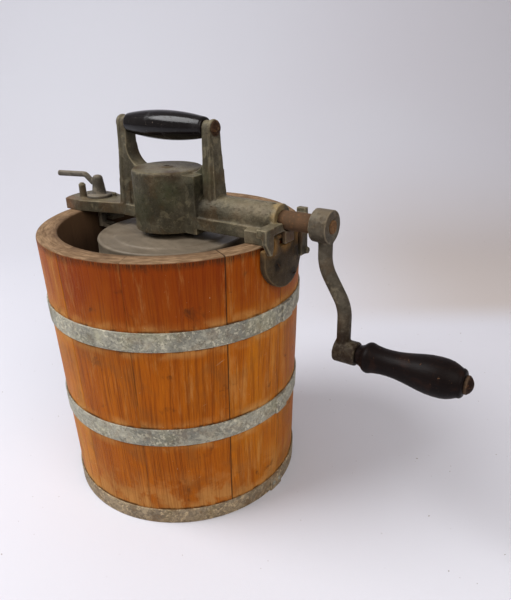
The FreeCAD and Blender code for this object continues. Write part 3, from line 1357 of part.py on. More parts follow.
# ------------------------------------------------------------------ the latch
def make_latch():
    pivot = ("-" + LATCH_PIVOT, "0", BAR_TOP)
    lever = new_body("latch_lever", pivot, (Vector(0, 0, 1), "latch_swing"))
    post = new_sketch(lever, "XZ_Plane")
    outline(post, [
        ("0", "0"),
        ("latch_foot_radius", "0"),
        ("latch_foot_radius", "latch_foot_thick - 1"),
        ("latch_foot_radius - 1", "latch_foot_thick"),
        ("latch_post_radius", "latch_foot_thick"),
        ("latch_post_top", "latch_post_height - latch_crown", "latch_crown", "right"),
        ("latch_post_top - latch_crown", "latch_post_height"),
        ("0", "latch_post_height"),
    ])
    revolve(lever, post, "V_Axis")
    # The rod leaves the post sideways, so its path is the S bend lying down.
    path = new_sketch(lever, "XZ_Plane")
    upright = s_bend("latch_rod_start", "0", "latch_rod_run", "latch_rod_rise", "latch_bend_run",
                     "latch_bend_radius", "-latch_reach")
    flip = {"left": "right", "right": "left"}
    lying = [(p[1], p[0]) if len(p) == 2 else (p[1], p[0], p[2], flip[p[3]]) for p in upright]
    outline(path, lying, closed=False)
    section = new_sketch(lever, "YZ_Plane")
    circle(section, "latch_rod_radius", "0", "latch_rod_start")
    sweep(lever, section, path)
    tang = new_sketch(lever, "XY_Plane")
    circle(tang, "latch_spindle_radius + snug_fit")
    pocket(lever, tang, "latch_tang", back=True)
    hook = new_body("latch_hook", ("-" + LATCH_PIVOT, "0", "tub_height - hook_drop"))
    spindle = new_sketch(hook, "XY_Plane")
    circle(spindle, "latch_spindle_radius")
    pad(hook, spindle, "hook_drop + bar_thick + latch_tang")
    arm = new_sketch(hook, "XY_Plane")
    box_outline(arm, "0", "-hook_half", "hook_reach", "hook_half")
    pad(hook, arm, "hook_thick")


# ------------------------------------------------------------------ build, check and write
def check(document):
    for item in document.Objects:
        bad = [state for state in item.State if state in ("Invalid", "Error")]
        if bad:
            raise RuntimeError("%s is %s" % (item.Name, ", ".join(bad)))
    for item in parts:
        if item.Shape.isNull() or not item.Shape.isValid() or not item.Shape.Solids:
            raise RuntimeError("%s has no valid shape" % item.Label)


def main():
    fill_sheet()
    make_staves()
    make_bottom_boards()
    make_hoops()
    make_hoop_rivets()
    make_bracket()
    make_bracket_pin()
    make_bracket_screws()
    make_keeper()
    make_floor_pivot()
    make_can()
    make_lid()
    make_dasher()
    make_scrapers()
    make_gear_frame()
    make_cover()
    make_carry_grip()
    make_crankshaft()
    make_crank_arm()
    make_knob()
    make_pinion()
    make_can_gear()
    make_driver()
    make_latch()
    doc.recompute()
    check(doc)
    os.makedirs("parts", exist_ok=True)
    for item in parts:
        item.Shape.exportStep("parts/%s.step" % item.Label)
        print("%-18s %8.0f mm3, %d solid(s)" % (item.Label, item.Shape.Volume, len(item.Shape.Solids)))


main()
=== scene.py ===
"""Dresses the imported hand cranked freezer: coopered tub, cast frame, turned knob and grip."""
import math

import bmesh
import bpy
from bpy.props import FloatProperty, FloatVectorProperty, PointerProperty
from mathutils import Matrix, Vector


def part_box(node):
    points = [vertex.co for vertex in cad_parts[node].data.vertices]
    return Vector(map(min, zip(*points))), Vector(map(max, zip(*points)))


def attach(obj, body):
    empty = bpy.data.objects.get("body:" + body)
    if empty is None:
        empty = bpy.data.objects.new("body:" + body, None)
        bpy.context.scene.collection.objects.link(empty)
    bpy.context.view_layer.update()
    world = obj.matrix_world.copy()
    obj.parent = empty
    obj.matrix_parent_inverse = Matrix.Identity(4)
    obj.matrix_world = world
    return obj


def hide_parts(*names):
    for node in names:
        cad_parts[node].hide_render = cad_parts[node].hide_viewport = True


bl_info = {
    "name": "Hand Cranked Freezer",
    "version": (1, 0, 0),
    "blender": (4, 5, 0),
    "location": "View3D > Sidebar > Freezer",
    "description": "Builds the visible pieces of a hand cranked freezer round its packed model",
    "category": "Object",
}

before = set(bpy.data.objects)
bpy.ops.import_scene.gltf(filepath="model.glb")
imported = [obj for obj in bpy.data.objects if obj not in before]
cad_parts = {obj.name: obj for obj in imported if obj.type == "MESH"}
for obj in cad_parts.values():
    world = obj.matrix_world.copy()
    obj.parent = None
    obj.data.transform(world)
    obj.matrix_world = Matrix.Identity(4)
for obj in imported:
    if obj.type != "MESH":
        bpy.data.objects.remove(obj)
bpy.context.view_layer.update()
MM = 0.001
# Points nearer to each other than this are the same.
SAME_PLACE = 1e-6

# Angles in degrees that the staves take up, clockwise from the first joint.
FIRST_JOINT = -28.3
STAVE_ANGLES = [39, 30, 27, 32, 26, 31, 29, 33, 26, 30, 28, 29]
# Staves whose anticlockwise edge stands a little open.
OPEN_JOINTS = [1]
# How far each stave's varnish leans from dark and red (0) to pale (1).
STAVE_TONES = [0.30, 0.34, 0.95, 0.70, 0.55, 0.35, 0.5, 0.3, 0.6, 0.4, 0.62, 0.72]
# How far the backdrop and the camera are turned round Z.
VIEW_TURN = math.radians(34.72)
# Where each hoop's lap is, round from +X, and the angle it takes up.
LAP_PLACES = {"hoop_lower": -0.8, "hoop_middle": 2.4, "hoop_upper": 5.5}
LAP_ANGLE = 9


def low(node, axis):
    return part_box(node)[0][axis]


def high(node, axis):
    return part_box(node)[1][axis]


# ---- node trees
class Wire:
    """A node's output that takes part in Python sums, which add Math nodes."""

    def __init__(self, tree, socket):
        self.tree = tree
        self.socket = socket

    def __add__(self, other):
        return self.tree.math("ADD", self, other)

    def __sub__(self, other):
        return self.tree.math("SUBTRACT", self, other)

    def __rsub__(self, other):
        return self.tree.math("SUBTRACT", other, self)

    def __mul__(self, other):
        return self.tree.math("MULTIPLY", self, other)

    def __pow__(self, other):
        return self.tree.math("POWER", self, other)

    def __abs__(self):
        return self.tree.math("ABSOLUTE", self)

    __radd__ = __add__
    __rmul__ = __mul__


class Tree:
    """A node tree that is filled by short calls."""

    def __init__(self, tree):
        self.tree = tree

    def feed(self, socket, value):
        if isinstance(value, Wire):
            self.tree.links.new(value.socket, socket)
        else:
            socket.default_value = value

    def add(self, kind, inputs=None, **settings):
        """One node: its settings first, then the values or links of its sockets."""
        node = self.tree.nodes.new(kind)
        for name, value in settings.items():
            setattr(node, name, value)
        for key, value in (inputs or {}).items():
            self.feed(node.inputs[key], value)
        return node

    def out(self, kind, output, inputs=None, **settings):
        return Wire(self, self.add(kind, inputs, **settings).outputs[output])

    def math(self, operation, *values):
        return self.out("ShaderNodeMath", 0, dict(enumerate(values)), operation=operation)

    def most(self, *values):
        return self.math("MAXIMUM", *values)

    def ramp(self, value, start, end):
        """0 at start and 1 at end, eased between them. start may be above end."""
        inputs = {"Value": value, "From Min": start, "From Max": end}
        return self.out("ShaderNodeMapRange", 0, inputs, interpolation_type="SMOOTHSTEP")

    def split(self, vector):
        node = self.add("ShaderNodeSeparateXYZ", {0: vector})
        return [Wire(self, socket) for socket in node.outputs]

    def join(self, x, y, z):
        return self.out("ShaderNodeCombineXYZ", 0, {0: x, 1: y, 2: z})

    def noise(self, vector, scale, detail=3.0, roughness=0.55, distortion=0.0):
        inputs = {"Vector": vector, "Scale": scale, "Detail": detail, "Roughness": roughness,
                  "Distortion": distortion}
        return self.out("ShaderNodeTexNoise", 0, inputs)

    def mix(self, mask, first, second):
        """The first colour where mask is 0 and the second where it is 1."""
        inputs = {0: mask, 6: rgba(first), 7: rgba(second)}
        return self.out("ShaderNodeMix", 2, inputs, data_type="RGBA")


def rgba(colour):
    return colour if isinstance(colour, Wire) else (*colour, 1.0)


class Finish(Tree):
    """A material whose patterns read object coordinates. Its colour is laid on in layers."""

    def __init__(self, name, metallic=0.0, gloss=0.12):
        """gloss is the strength of the plain reflection, 0.5 being that of clean glass."""
        self.material = bpy.data.materials.new(name)
        self.material.use_nodes = True
        super().__init__(self.material.node_tree)
        self.shader = self.tree.nodes["Principled BSDF"]
        self.shader.inputs["Metallic"].default_value = metallic
        self.shader.inputs["Specular IOR Level"].default_value = gloss
        self.place = self.out("ShaderNodeTexCoord", "Object")
        self.x, self.y, self.z = self.split(self.place)
        geometry = self.add("ShaderNodeNewGeometry")
        self.facing_up = self.split(Wire(self, geometry.outputs["Normal"]))[2]
        self.edge = Wire(self, geometry.outputs["Pointiness"])

    def near(self, centre, reach):
        """1 at a point and 0 beyond its reach, both in metres."""
        away = self.out("ShaderNodeVectorMath", 1, {0: self.place, 1: centre}, operation="DISTANCE")
        return self.ramp(away, reach, reach * 0.35)

    def patches(self, scale, start, end, detail=4.0, distortion=0.4, shift=0.0):
        """Blotches with soft edges. scale is in blotches per metre."""
        vector = self.out("ShaderNodeMapping", 0, {"Vector": self.place, "Location": (shift, 0, 0)})
        return self.ramp(self.noise(vector, scale, detail, 0.6, distortion), start, end)

    def start(self, mask, first, second):
        """Lay the ground: two colours and the mask between them."""
        self.colour = self.mix(mask, first, second)

    def lay(self, mask, colour):
        """Put a colour over the ones that are there, where the mask is 1."""
        self.colour = self.mix(mask, self.colour, colour)

    def done(self, roughness, height, depth):
        """Wire up the shader. depth is the height of the relief in metres."""
        self.feed(self.shader.inputs["Base Color"], self.colour)
        self.feed(self.shader.inputs["Roughness"], roughness)
        bump = self.out("ShaderNodeBump", 0, {"Height": height, "Distance": depth})
        self.feed(self.shader.inputs["Normal"], bump)
        return self.material


# ---- finishes
def tinted(colour, *factors):
    """A colour with each channel multiplied."""
    return [min(1.0, c * k) for c, k in zip(colour, factors)]


def stave_finish(index, start, span, tone, look, tub):
    """Varnished pine with upright grain, bare end grain at the rim and damp wood inside."""
    f = Finish("stave_wood_%02d" % index, gloss=0.07)
    centre = math.radians(start - span / 2)
    turned_x = f.x * math.cos(centre) + f.y * math.sin(centre)
    turned_y = f.y * math.cos(centre) - f.x * math.sin(centre)
    radius = (f.x * f.x + f.y * f.y) ** 0.5
    across = f.math("ARCTAN2", turned_y, turned_x) * tub.rim_radius
    seed = index * 0.37
    amber = list(look.varnish)
    red, deep = tinted(amber, 0.58, 0.40, 0.5), tinted(amber, 0.26, 0.17, 0.3)
    pale = tinted(amber, 1.30, 1.85, 3.2)

    # Grain: broad figure, thin dark lines and fibres, all drawn out along the stave.
    drift = f.noise(f.join(across * 5, seed, f.z * 2.2), 2.2, 2.0)
    bent = across + drift * 0.012
    figure = f.noise(f.join(bent, radius * 0.4 + seed, f.z * 0.045), 95, 3.0, 0.6)
    lines = f.noise(f.join(bent, radius * 0.4 + seed, f.z * 0.014), 760, 4.0, 0.65)
    lines = f.ramp(lines, 0.46, 0.64)
    fibre = f.noise(f.join(across, radius, f.z * 0.014 + seed), 2100, 3.0, 0.7)
    cloud = f.ramp(f.noise(f.join(across, seed, f.z * 0.6), 19, 5.0, 0.6), 0.36, 0.66)
    f.start(tone, red, pale)
    f.lay(0.25 + cloud * 0.5, amber)
    f.lay(f.ramp(figure, 0.42, 0.64) * 0.32, red)
    f.lay(f.ramp(fibre, 0.40, 0.66) * 0.22, deep)
    f.lay(lines * (0.62 - 0.22 * tone), deep)

    # The varnish is redder towards the rim and has worn to bare wood in streaks and at the hoops.
    top = f.ramp(f.z + cloud * 0.03, 0.66 * tub.height, tub.height)
    f.lay(top * (0.82 - 0.25 * tone), tinted(amber, 0.40, 0.185, 0.4))
    streak = f.noise(f.join(across * 1.6, seed + 3, f.z * 0.22), 52, 6.0, 0.72)
    worn = f.ramp(streak, 0.56 - 0.11 * tone, 0.70)
    edges = [end(hoop, 2) for hoop in ("hoop_upper", "hoop_middle") for end in (low, high)]
    edges.append(high("hoop_lower", 2))
    for edge in edges:
        rub = 0.25 + 1.1 * f.patches(40, 0.42, 0.60, detail=6, shift=seed + edge * 9)
        worn = f.most(worn, f.ramp(abs(f.z - edge), 0.012, 0.002) * rub)
    foot = f.ramp(f.z + streak * 0.05, 0.095, 0.045) * f.patches(40, 0.42, 0.56, detail=7, shift=seed + 2)
    worn = f.most(worn * (0.45 + 0.5 * tone), foot * 0.95)
    f.lay(worn * (0.75 - 0.25 * lines), look.bare_wood)
    haze = f.patches(26, 0.46, 0.68, detail=6, shift=seed + 7) * (1.0 - top)
    f.lay(haze * 0.34, (0.165, 0.068, 0.018))

    # Slanting white scratches, chips and dark smudges.
    slant = f.noise(f.join(f.z - across * 0.5, seed, (across + f.z * 0.5) * 0.09), 520, 2.0, 0.5)
    scratch = f.ramp(slant, 0.69, 0.74) * f.patches(15, 0.56, 0.64, shift=seed + 1)
    scuff = f.ramp(f.noise(f.join(across, seed, f.z * 0.7), 420, 3.0, 0.6), 0.70, 0.76)
    scuff = f.most(scratch * 0.6, scuff * f.patches(15, 0.50, 0.62, shift=seed))
    f.lay(scuff * 0.75, (0.56, 0.42, 0.25))
    f.lay(f.patches(41, 0.60, 0.72, detail=6, shift=seed + 5) * 0.65, (0.050, 0.018, 0.006))

    # Dirt lies in the joints, at the hoops and below the rim.
    half = math.radians(span / 2) * tub.rim_radius
    joint = f.ramp(half - abs(across), 0.0011, 0.0002)
    open_joint = f.ramp(half - across, 0.0015, 0.0006) if index in OPEN_JOINTS else 0.0
    shut = f.patches(26, 0.40, 0.62, shift=seed + 9)
    f.lay(f.most(joint * (0.14 + 0.36 * shut), open_joint * 0.9), (0.020, 0.009, 0.004))
    for edge in edges:
        near = f.ramp(abs(f.z - edge), 0.0028, 0.0006)
        f.lay(near * f.patches(70, 0.40, 0.60, shift=seed) * 0.8, (0.050, 0.024, 0.010))
    brow = f.ramp(f.z + streak * 0.012, tub.height - 0.004, tub.height + 0.004)
    f.lay(brow * (0.35 + 0.6 * f.ramp(fibre, 0.42, 0.60)), (0.040, 0.017, 0.006))

    # Inside face and rim.
    wall = radius - tub.inside(f.z)
    inside = f.ramp(wall, 0.004, 0.0015)
    blotch = f.noise(f.join(across, seed, f.z * 0.08), 120, 4.0)
    damp = f.mix(blotch, (0.022, 0.012, 0.008), (0.080, 0.045, 0.025))
    tide = f.ramp(f.z + drift * 0.02, 0.255, 0.288)
    f.lay(inside, f.mix(tide * 0.6, damp, (0.125, 0.070, 0.036)))
    arcs = f.noise(f.join(radius, across * 0.12, seed), 560, 4.0, 0.65)
    rim = f.mix(f.ramp(arcs, 0.35, 0.65), (0.140, 0.083, 0.044), (0.290, 0.186, 0.106))
    rim = f.mix(f.patches(34, 0.48, 0.66, detail=6, shift=seed) * 0.6, rim, (0.085, 0.048, 0.027))
    rim = f.mix(f.ramp(wall, 0.009, 0.002) * 0.5, rim, (0.075, 0.042, 0.024))
    rim_mask = f.ramp(f.facing_up, 0.35, 0.75)
    f.lay(rim_mask, rim)
    f.lay(rim_mask * f.most(joint * 0.35, open_joint), (0.03, 0.016, 0.008))
    dull = f.most(f.most(inside, rim_mask), worn * 0.7)
    height = fibre * 0.5 - lines * 0.3 - scuff * 0.3 + arcs * rim_mask * 0.5
    return f.done(0.40 + 0.12 * fibre + 0.34 * dull, height, 0.0003)


def zinc_finish(name, base, crust, rust):
    """Galvanised strip: dull grey with a white bloom, thin dark stains and brown ones."""
    f = Finish(name, metallic=0.05)
    f.start(f.patches(30, 0.38, 0.62, detail=5), tinted(base, 0.60, 0.61, 0.64), base)
    f.lay(f.patches(23, 0.50, 0.64, detail=5, shift=5) * 0.40, tinted(base, 0.80, 0.78, 0.52))
    bloom = f.patches(250, 0.46, 0.60, detail=8, shift=2)
    bloom = bloom * (0.45 + 0.75 * f.patches(48, 0.42, 0.60, shift=8))
    f.lay(bloom * crust, tinted(base, 1.9, 1.85, 1.75))
    vein = f.patches(210, 0.52, 0.63, detail=7, distortion=1.2, shift=4)
    f.lay(vein * 0.55, tinted(base, 0.42, 0.42, 0.40))
    stain = f.patches(75, 0.50, 0.64, detail=7, shift=7) + f.ramp(f.z, 0.02, 0.0) * 0.3
    f.lay(f.math("MINIMUM", stain, 1.0) * rust, (0.175, 0.100, 0.044))
    speck = f.patches(760, 0.64, 0.71, detail=3, shift=9)
    f.lay(speck * 0.8, (0.060, 0.042, 0.026))
    return f.done(0.62 + bloom * 0.2, bloom - speck - vein * 0.5, 0.0004)


def cast_finish(name, base, dirt_and_shade=0.6, bright=0.5, metallic=0.05, gloss=0.15, marks=()):
    """Tinned or bare cast iron: sandy skin, brown grime and painted shade in the hollows, rubbed edges, and
    a painted highlight on the faces that look up. Each of the marks is a stain or a patch of painted shade:
    its centre and reach in mm, its strength and its colour."""
    f = Finish(name, metallic=metallic, gloss=gloss)
    f.start(f.patches(50, 0.36, 0.64, detail=5), tinted(base, 0.52, 0.50, 0.46), base)
    f.lay(f.patches(190, 0.46, 0.66, detail=8, shift=3) * 0.50, tinted(base, 0.42, 0.41, 0.38))
    f.lay(f.patches(120, 0.52, 0.66, detail=9, shift=14) * 0.50, tinted(base, 2.0, 1.95, 1.8))
    # Painted shade and grime: the hollows, found by low pointiness, are darkened as if shaded as well as
    # dirty.
    hollow = f.ramp(f.edge, 0.49, 0.44)
    f.lay(hollow * dirt_and_shade, (0.020, 0.014, 0.008))
    f.lay(f.patches(46, 0.50, 0.64, detail=7, shift=6) * dirt_and_shade * 0.75, (0.070, 0.040, 0.017))
    # Painted highlight: faces that look up are lightened as if lit from above, the more so the higher
    # bright is.
    top = f.ramp(f.facing_up, 0.45, 0.95)
    f.lay(top * 0.80 * bright, tinted(base, 2.3, 2.2, 2.0))
    f.lay(top * f.patches(95, 0.46, 0.60, detail=7, shift=12) * 0.7 * dirt_and_shade, tinted(base, 0.65, 0.6, 0.5))
    f.lay(f.ramp(f.edge, 0.512, 0.55) * bright, tinted(base, 2.9, 2.8, 2.6))
    f.lay(f.patches(900, 0.62, 0.70, detail=3, shift=8) * 0.4, tinted(base, 2.6, 2.5, 2.2))
    for x, y, z, reach, strength, stain in marks:
        ragged = 0.6 + 0.4 * f.patches(210, 0.40, 0.60, detail=6, shift=13)
        f.lay(f.near((x * MM, y * MM, z * MM), reach * MM) * ragged * strength, stain)
    skin = f.noise(f.place, 560, 5.0, 0.65)
    pits = f.patches(330, 0.58, 0.70, shift=5)
    return f.done(0.34 + skin * 0.28 + hollow * 0.1, skin - pits * 0.7, 0.0007)


def tin_finish(name, base, metallic=0.35):
    """Tinned sheet that has dulled, with smears, scratches and a little brown at the edges."""
    f = Finish(name, metallic=metallic, gloss=0.22)
    smear = f.noise(f.join(f.x, f.y * 1.8, f.z), 26, 6.0, 0.65, 0.8)
    f.start(f.ramp(smear, 0.35, 0.7), tinted(base, 0.80, 0.80, 0.78), tinted(base, 1.12, 1.12, 1.1))
    f.lay(f.patches(38, 0.54, 0.66, detail=6, shift=3) * 0.35, (0.085, 0.062, 0.040))
    line = f.noise(f.join(f.x * 1.5 + f.y * 1.2, f.y * 0.06 - f.x * 0.04, f.z * 0.2), 900, 2.0)
    scratch = f.ramp(line, 0.68, 0.74) * f.patches(18, 0.45, 0.6, shift=11)
    f.lay(scratch * 0.35, tinted(base, 1.9, 1.9, 1.9))
    f.lay(f.ramp(f.edge, 0.53, 0.58) * 0.45, tinted(base, 1.8, 1.8, 1.8))
    speck = f.patches(700, 0.66, 0.73, detail=2, shift=8)
    f.lay(speck * 0.7, (0.04, 0.026, 0.016))
    return f.done(0.44 + smear * 0.16, smear * 0.4 - scratch - speck * 0.5, 0.0003)


def rust_finish(name, base=(0.075, 0.029, 0.012), bright=(0.23, 0.090, 0.024), shine=0.05):
    """Steel under brown rust with orange bloom."""
    f = Finish(name, metallic=shine, gloss=0.06)
    f.start(f.patches(170, 0.40, 0.66), tinted(base, 0.5, 0.45, 0.45), base)
    f.lay(f.patches(320, 0.52, 0.68, detail=6, shift=4) * 0.7, bright)
    f.lay(f.ramp(f.edge, 0.52, 0.58) * 0.35, (0.20, 0.13, 0.075))
    scale = f.noise(f.place, 1300, 5.0, 0.7)
    return f.done(0.55 + scale * 0.25, scale, 0.0005)


def enamel_finish(look):
    """Black glossy enamel with fine scratches and rubbed spots."""
    f = Finish("grip_enamel", gloss=0.18)
    dull = f.patches(70, 0.50, 0.68, detail=5)
    f.start(dull * 0.5, look.enamel, [c * 2.0 + 0.004 for c in look.enamel])
    nick = f.patches(420, 0.70, 0.75, detail=2, shift=3)
    f.lay(nick, (0.13, 0.10, 0.075))
    fine = f.noise(f.join(f.x * 0.15, f.y, f.z), 1100, 3.0)
    return f.done(0.14 + dull * 0.16 + nick * 0.3, fine * 0.2 - nick, 0.00025)


def knob_finish():
    """Turned hardwood gone black with use, brown where it has rubbed through."""
    f = Finish("knob_wood", gloss=0.06)
    grain = f.noise(f.join(f.x * 0.05, f.y, f.z), 900, 4.0, 0.65)
    f.start(grain, (0.0030, 0.0020, 0.0022), (0.010, 0.006, 0.005))
    f.lay(f.patches(75, 0.52, 0.68, detail=6) * 0.4, (0.024, 0.010, 0.006))
    chip = f.patches(260, 0.66, 0.71, shift=6)
    f.lay(chip * 0.8, (0.12, 0.062, 0.032))
    turning = f.noise(f.join(f.x, 0.0, 0.0), 700, 2.0)
    return f.done(0.33 + grain * 0.16, grain * 0.5 + turning * 0.3 - chip, 0.0003)


def bare_wood_finish(name, pale, dark, along):
    """Plain boards. along is the axis that the grain runs along: x or z."""
    f = Finish(name)
    x, z = (f.x * 0.05, f.z) if along == "x" else (f.x, f.z * 0.05)
    grain = f.noise(f.join(x, f.y, z), 300, 4.0, 0.6, 0.6)
    fine = f.noise(f.join(x, f.y, z), 1500, 2.0)
    f.start(f.ramp(grain, 0.35, 0.7), pale, dark)
    f.lay(f.patches(28, 0.5, 0.66) * 0.5, tinted(dark, 0.45, 0.45, 0.45))
    return f.done(0.72 + fine * 0.15, grain + fine, 0.0004)


def cloth_finish(look):
    """Pale cloth under and behind the object, with painted shade towards the right, a painted shadow of the
    tub and a few crumbs.
    """
    f = Finish("backdrop_cloth")
    fold = f.noise(f.place, 1.6, 2.0, 0.4, 0.3)
    weave = f.noise(f.place, 1500, 2.0)
    f.start(f.ramp(fold, 0.3, 0.7) * 0.5, look.cloth, tinted(look.cloth, 0.97, 0.95, 0.955))
    across = f.x * math.cos(VIEW_TURN) + f.y * math.sin(VIEW_TURN)
    away = f.y * math.cos(VIEW_TURN) - f.x * math.sin(VIEW_TURN)
    # Painted shade: the cloth darkens and warms towards the right.
    f.lay(f.ramp(across, 0.0, 1.1) * 0.30, tinted(look.cloth, 0.86, 0.78, 0.77))
    # Painted shadow: a warm dark patch on the floor to the right of the tub and behind it, standing for the
    # tub's soft shadow.
    painted_tub_shadow = f.ramp(across, 0.05, 0.55) * f.ramp(away, 0.30, 0.42) * f.ramp(away, 1.3, 0.6)
    f.lay(painted_tub_shadow * 0.85, tinted(look.cloth, 0.80, 0.70, 0.60))
    crumb = f.patches(210, 0.775, 0.79, detail=1, distortion=0) * f.ramp(f.z, 0.01, 0.005)
    f.lay(crumb * 0.7, (0.22, 0.17, 0.14))
    return f.done(0.95, weave, 0.0003)


# ---- meshes
def new_object(name, data):
    """Make an object and link it to the scene."""
    made = bpy.data.objects.new(name, data)
    bpy.context.scene.collection.objects.link(made)
    return made


def new_piece(name, mesh, body, node_names, material, smooth=40):
    """Link a finished mesh, ride it on its body and hide the nodes that it stands for."""
    piece = new_object(name, mesh)
    mesh.materials.clear()
    mesh.materials.append(material)
    mesh.shade_smooth()
    mesh.set_sharp_from_angle(angle=math.radians(smooth))
    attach(piece, body)
    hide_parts(*node_names)
    return piece


def applied(mesh, modifiers):
    """The mesh that a throwaway object has after its modifiers."""
    source = new_object("work", mesh)
    for kind, settings in modifiers:
        modifier = source.modifiers.new(kind.lower(), kind)
        for key, value in settings.items():
            if hasattr(modifier, key):
                setattr(modifier, key, value)
            else:
                modifier[key] = value
    graph = bpy.context.evaluated_depsgraph_get()
    result = bpy.data.meshes.new_from_object(source.evaluated_get(graph))
    bpy.data.objects.remove(source)
    return result


def node_mesh(node):
    """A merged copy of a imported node's mesh."""
    mesh = bpy.data.objects[node].data.copy()
    shape = bmesh.new()
    shape.from_mesh(mesh)
    bmesh.ops.remove_doubles(shape, verts=shape.verts, dist=SAME_PLACE)
    shape.to_mesh(mesh)
    shape.free()
    return mesh


def softened(name, node, body, material, voxel, rounds, keep=1.0):
    """A casting: the node's shape with the round edges and fillets of a sand mould. keep is the
    share of the faces that stay."""
    steps = [
        ("REMESH", {"mode": "VOXEL", "voxel_size": voxel, "adaptivity": 0.0}),
        ("SMOOTH", {"factor": 0.5, "iterations": rounds}),
    ]
    if keep < 1:
        steps.append(("DECIMATE", {"ratio": keep}))
    mesh = applied(node_mesh(node), steps)
    return new_piece(name, mesh, body, [node], material, smooth=60)


def profile_mesh(points):
    """A closed loop of points (radius, height) lying in the XY plane."""
    mesh = bpy.data.meshes.new("profile")
    count = len(points)
    edges = [(i, (i + 1) % count) for i in range(count)]
    mesh.from_pydata([(r, h, 0.0) for r, h in points], edges, [])
    return mesh


def stepped(points, step):
    """The same closed loop with extra points, so that no side is longer than step."""
    result = []
    for i, (r0, h0) in enumerate(points):
        r1, h1 = points[(i + 1) % len(points)]
        count = max(1, round(math.hypot(r1 - r0, h1 - h0) / step))
        result += [(r0 + (r1 - r0) * k / count, h0 + (h1 - h0) * k / count) for k in range(count)]
    return result


def rounded(centre, radius, start, end, count=5):
    """Points on an arc in the profile plane, from start to end degrees."""
    turn = [math.radians(start + (end - start) * i / count) for i in range(count + 1)]
    return [(centre[0] + radius * math.cos(a), centre[1] + radius * math.sin(a)) for a in turn]


def mesh_group(name, floats, **others):
    """A geometry node group that takes a mesh, named values and a material, and those as wires."""
    kinds = {"Geometry": "Geometry", **dict.fromkeys(floats, "Float"), **others, "Finish": "Material"}
    group = bpy.data.node_groups.new(name, "GeometryNodeTree")
    for socket, kind in kinds.items():
        group.interface.new_socket(socket, in_out="INPUT", socket_type="NodeSocket" + kind)
    group.interface.new_socket("Geometry", in_out="OUTPUT", socket_type="NodeSocketGeometry")
    t = Tree(group)
    given = t.add("NodeGroupInput")
    return t, {socket: Wire(t, given.outputs[socket]) for socket in kinds}


def give_mesh(t, mesh, finish):
    """Lead the mesh out of the group, with its material."""
    real = t.out("GeometryNodeRealizeInstances", 0, {"Geometry": mesh})
    final = t.out("GeometryNodeSetMaterial", 0, {"Geometry": real, "Material": finish})
    t.feed(t.add("NodeGroupOutput").inputs[0], final)
    return t.tree


def sweep_tree():
    """Geometry nodes that sweep a flat profile of radius and height round the Z axis. Ends can be
    crowded with steps and eased back, as the edges of a stave are."""
    floats = ("From", "To", "Crowd Ends", "Middle Radius", "Middle Slope", "Joint Depth", "Joint Width",
              "Wave", "Wave Scale", "Seed")
    t, value = mesh_group("round_sweep", floats, Steps="Int", Capped="Bool")
    line = t.out("GeometryNodeCurvePrimitiveLine", 0, {"Start": (0, 0, 0), "End": (0, 0, 1)})
    path = t.out("GeometryNodeResampleCurve", 0, {"Curve": line, "Count": value["Steps"]})
    loop = t.out("GeometryNodeMeshToCurve", 0, {"Mesh": value["Geometry"]})
    tube = t.out("GeometryNodeCurveToMesh", 0,
                 {"Curve": path, "Profile Curve": loop, "Fill Caps": value["Capped"]})
    radius, height, share = t.split(t.out("GeometryNodeInputPosition", 0))
    crowded = 0.5 - 0.5 * t.math("COSINE", share * math.pi)
    share = share + value["Crowd Ends"] * (crowded - share)
    angle = value["From"] + (value["To"] - value["From"]) * share
    side = t.math("MINIMUM", share, 1.0 - share) * abs(value["To"] - value["From"]) * radius
    ease = t.ramp(side, value["Joint Width"], 0.0) * value["Joint Depth"]
    outer = t.math("SIGN", radius - (value["Middle Radius"] + value["Middle Slope"] * height))
    cosine, sine = t.math("COSINE", angle), t.math("SINE", angle)
    spot = t.join(radius * cosine, radius * sine, height)
    inputs = {"Vector": spot, "W": value["Seed"], "Scale": value["Wave Scale"], "Detail": 2.0}
    sample = t.out("ShaderNodeTexNoise", 0, inputs, noise_dimensions="4D")
    radius = radius - outer * (ease + sample * value["Wave"])
    bent = t.out("GeometryNodeSetPosition", 0,
                 {"Geometry": tube, "Position": t.join(radius * cosine, radius * sine, height)})
    flipped = t.out("GeometryNodeFlipFaces", 0, {"Mesh": bent})
    merged = t.out("GeometryNodeMergeByDistance", 0, {"Geometry": flipped, "Distance": SAME_PLACE})
    return give_mesh(t, merged, value["Finish"])


def tree_settings(group, values):
    """Modifier settings keyed by the identifiers of the tree's inputs."""
    keys = {item.name: item.identifier for item in group.interface.items_tree if item.in_out == "INPUT"}
    return {"node_group": group, **{keys[name]: value for name, value in values.items()}}


def swept(points, start, end, steps, finish, **values):
    """A profile swept from one angle to another, in degrees."""
    group = bpy.data.node_groups.get("round_sweep") or sweep_tree()
    settings = {"From": math.radians(start), "To": math.radians(end), "Steps": steps,
                "Capped": abs(end - start) < 360, "Joint Width": 0.001, "Finish": finish}
    settings.update({name.replace("_", " "): value for name, value in values.items()})
    return applied(profile_mesh(points), [("NODES", tree_settings(group, settings))])


def merged(meshes):
    """Several meshes made one."""
    shape = bmesh.new()
    for mesh in meshes:
        shape.from_mesh(mesh)
    result = meshes[0].copy()
    shape.to_mesh(result)
    shape.free()
    return result


def along_x(mesh, height):
    """Lay a piece turned round Z on its side, so that its axis is X at a height."""
    mesh.transform(Matrix.Translation((0, 0, height)) @ Matrix.Rotation(math.radians(90), 4, "Y"))
    return mesh


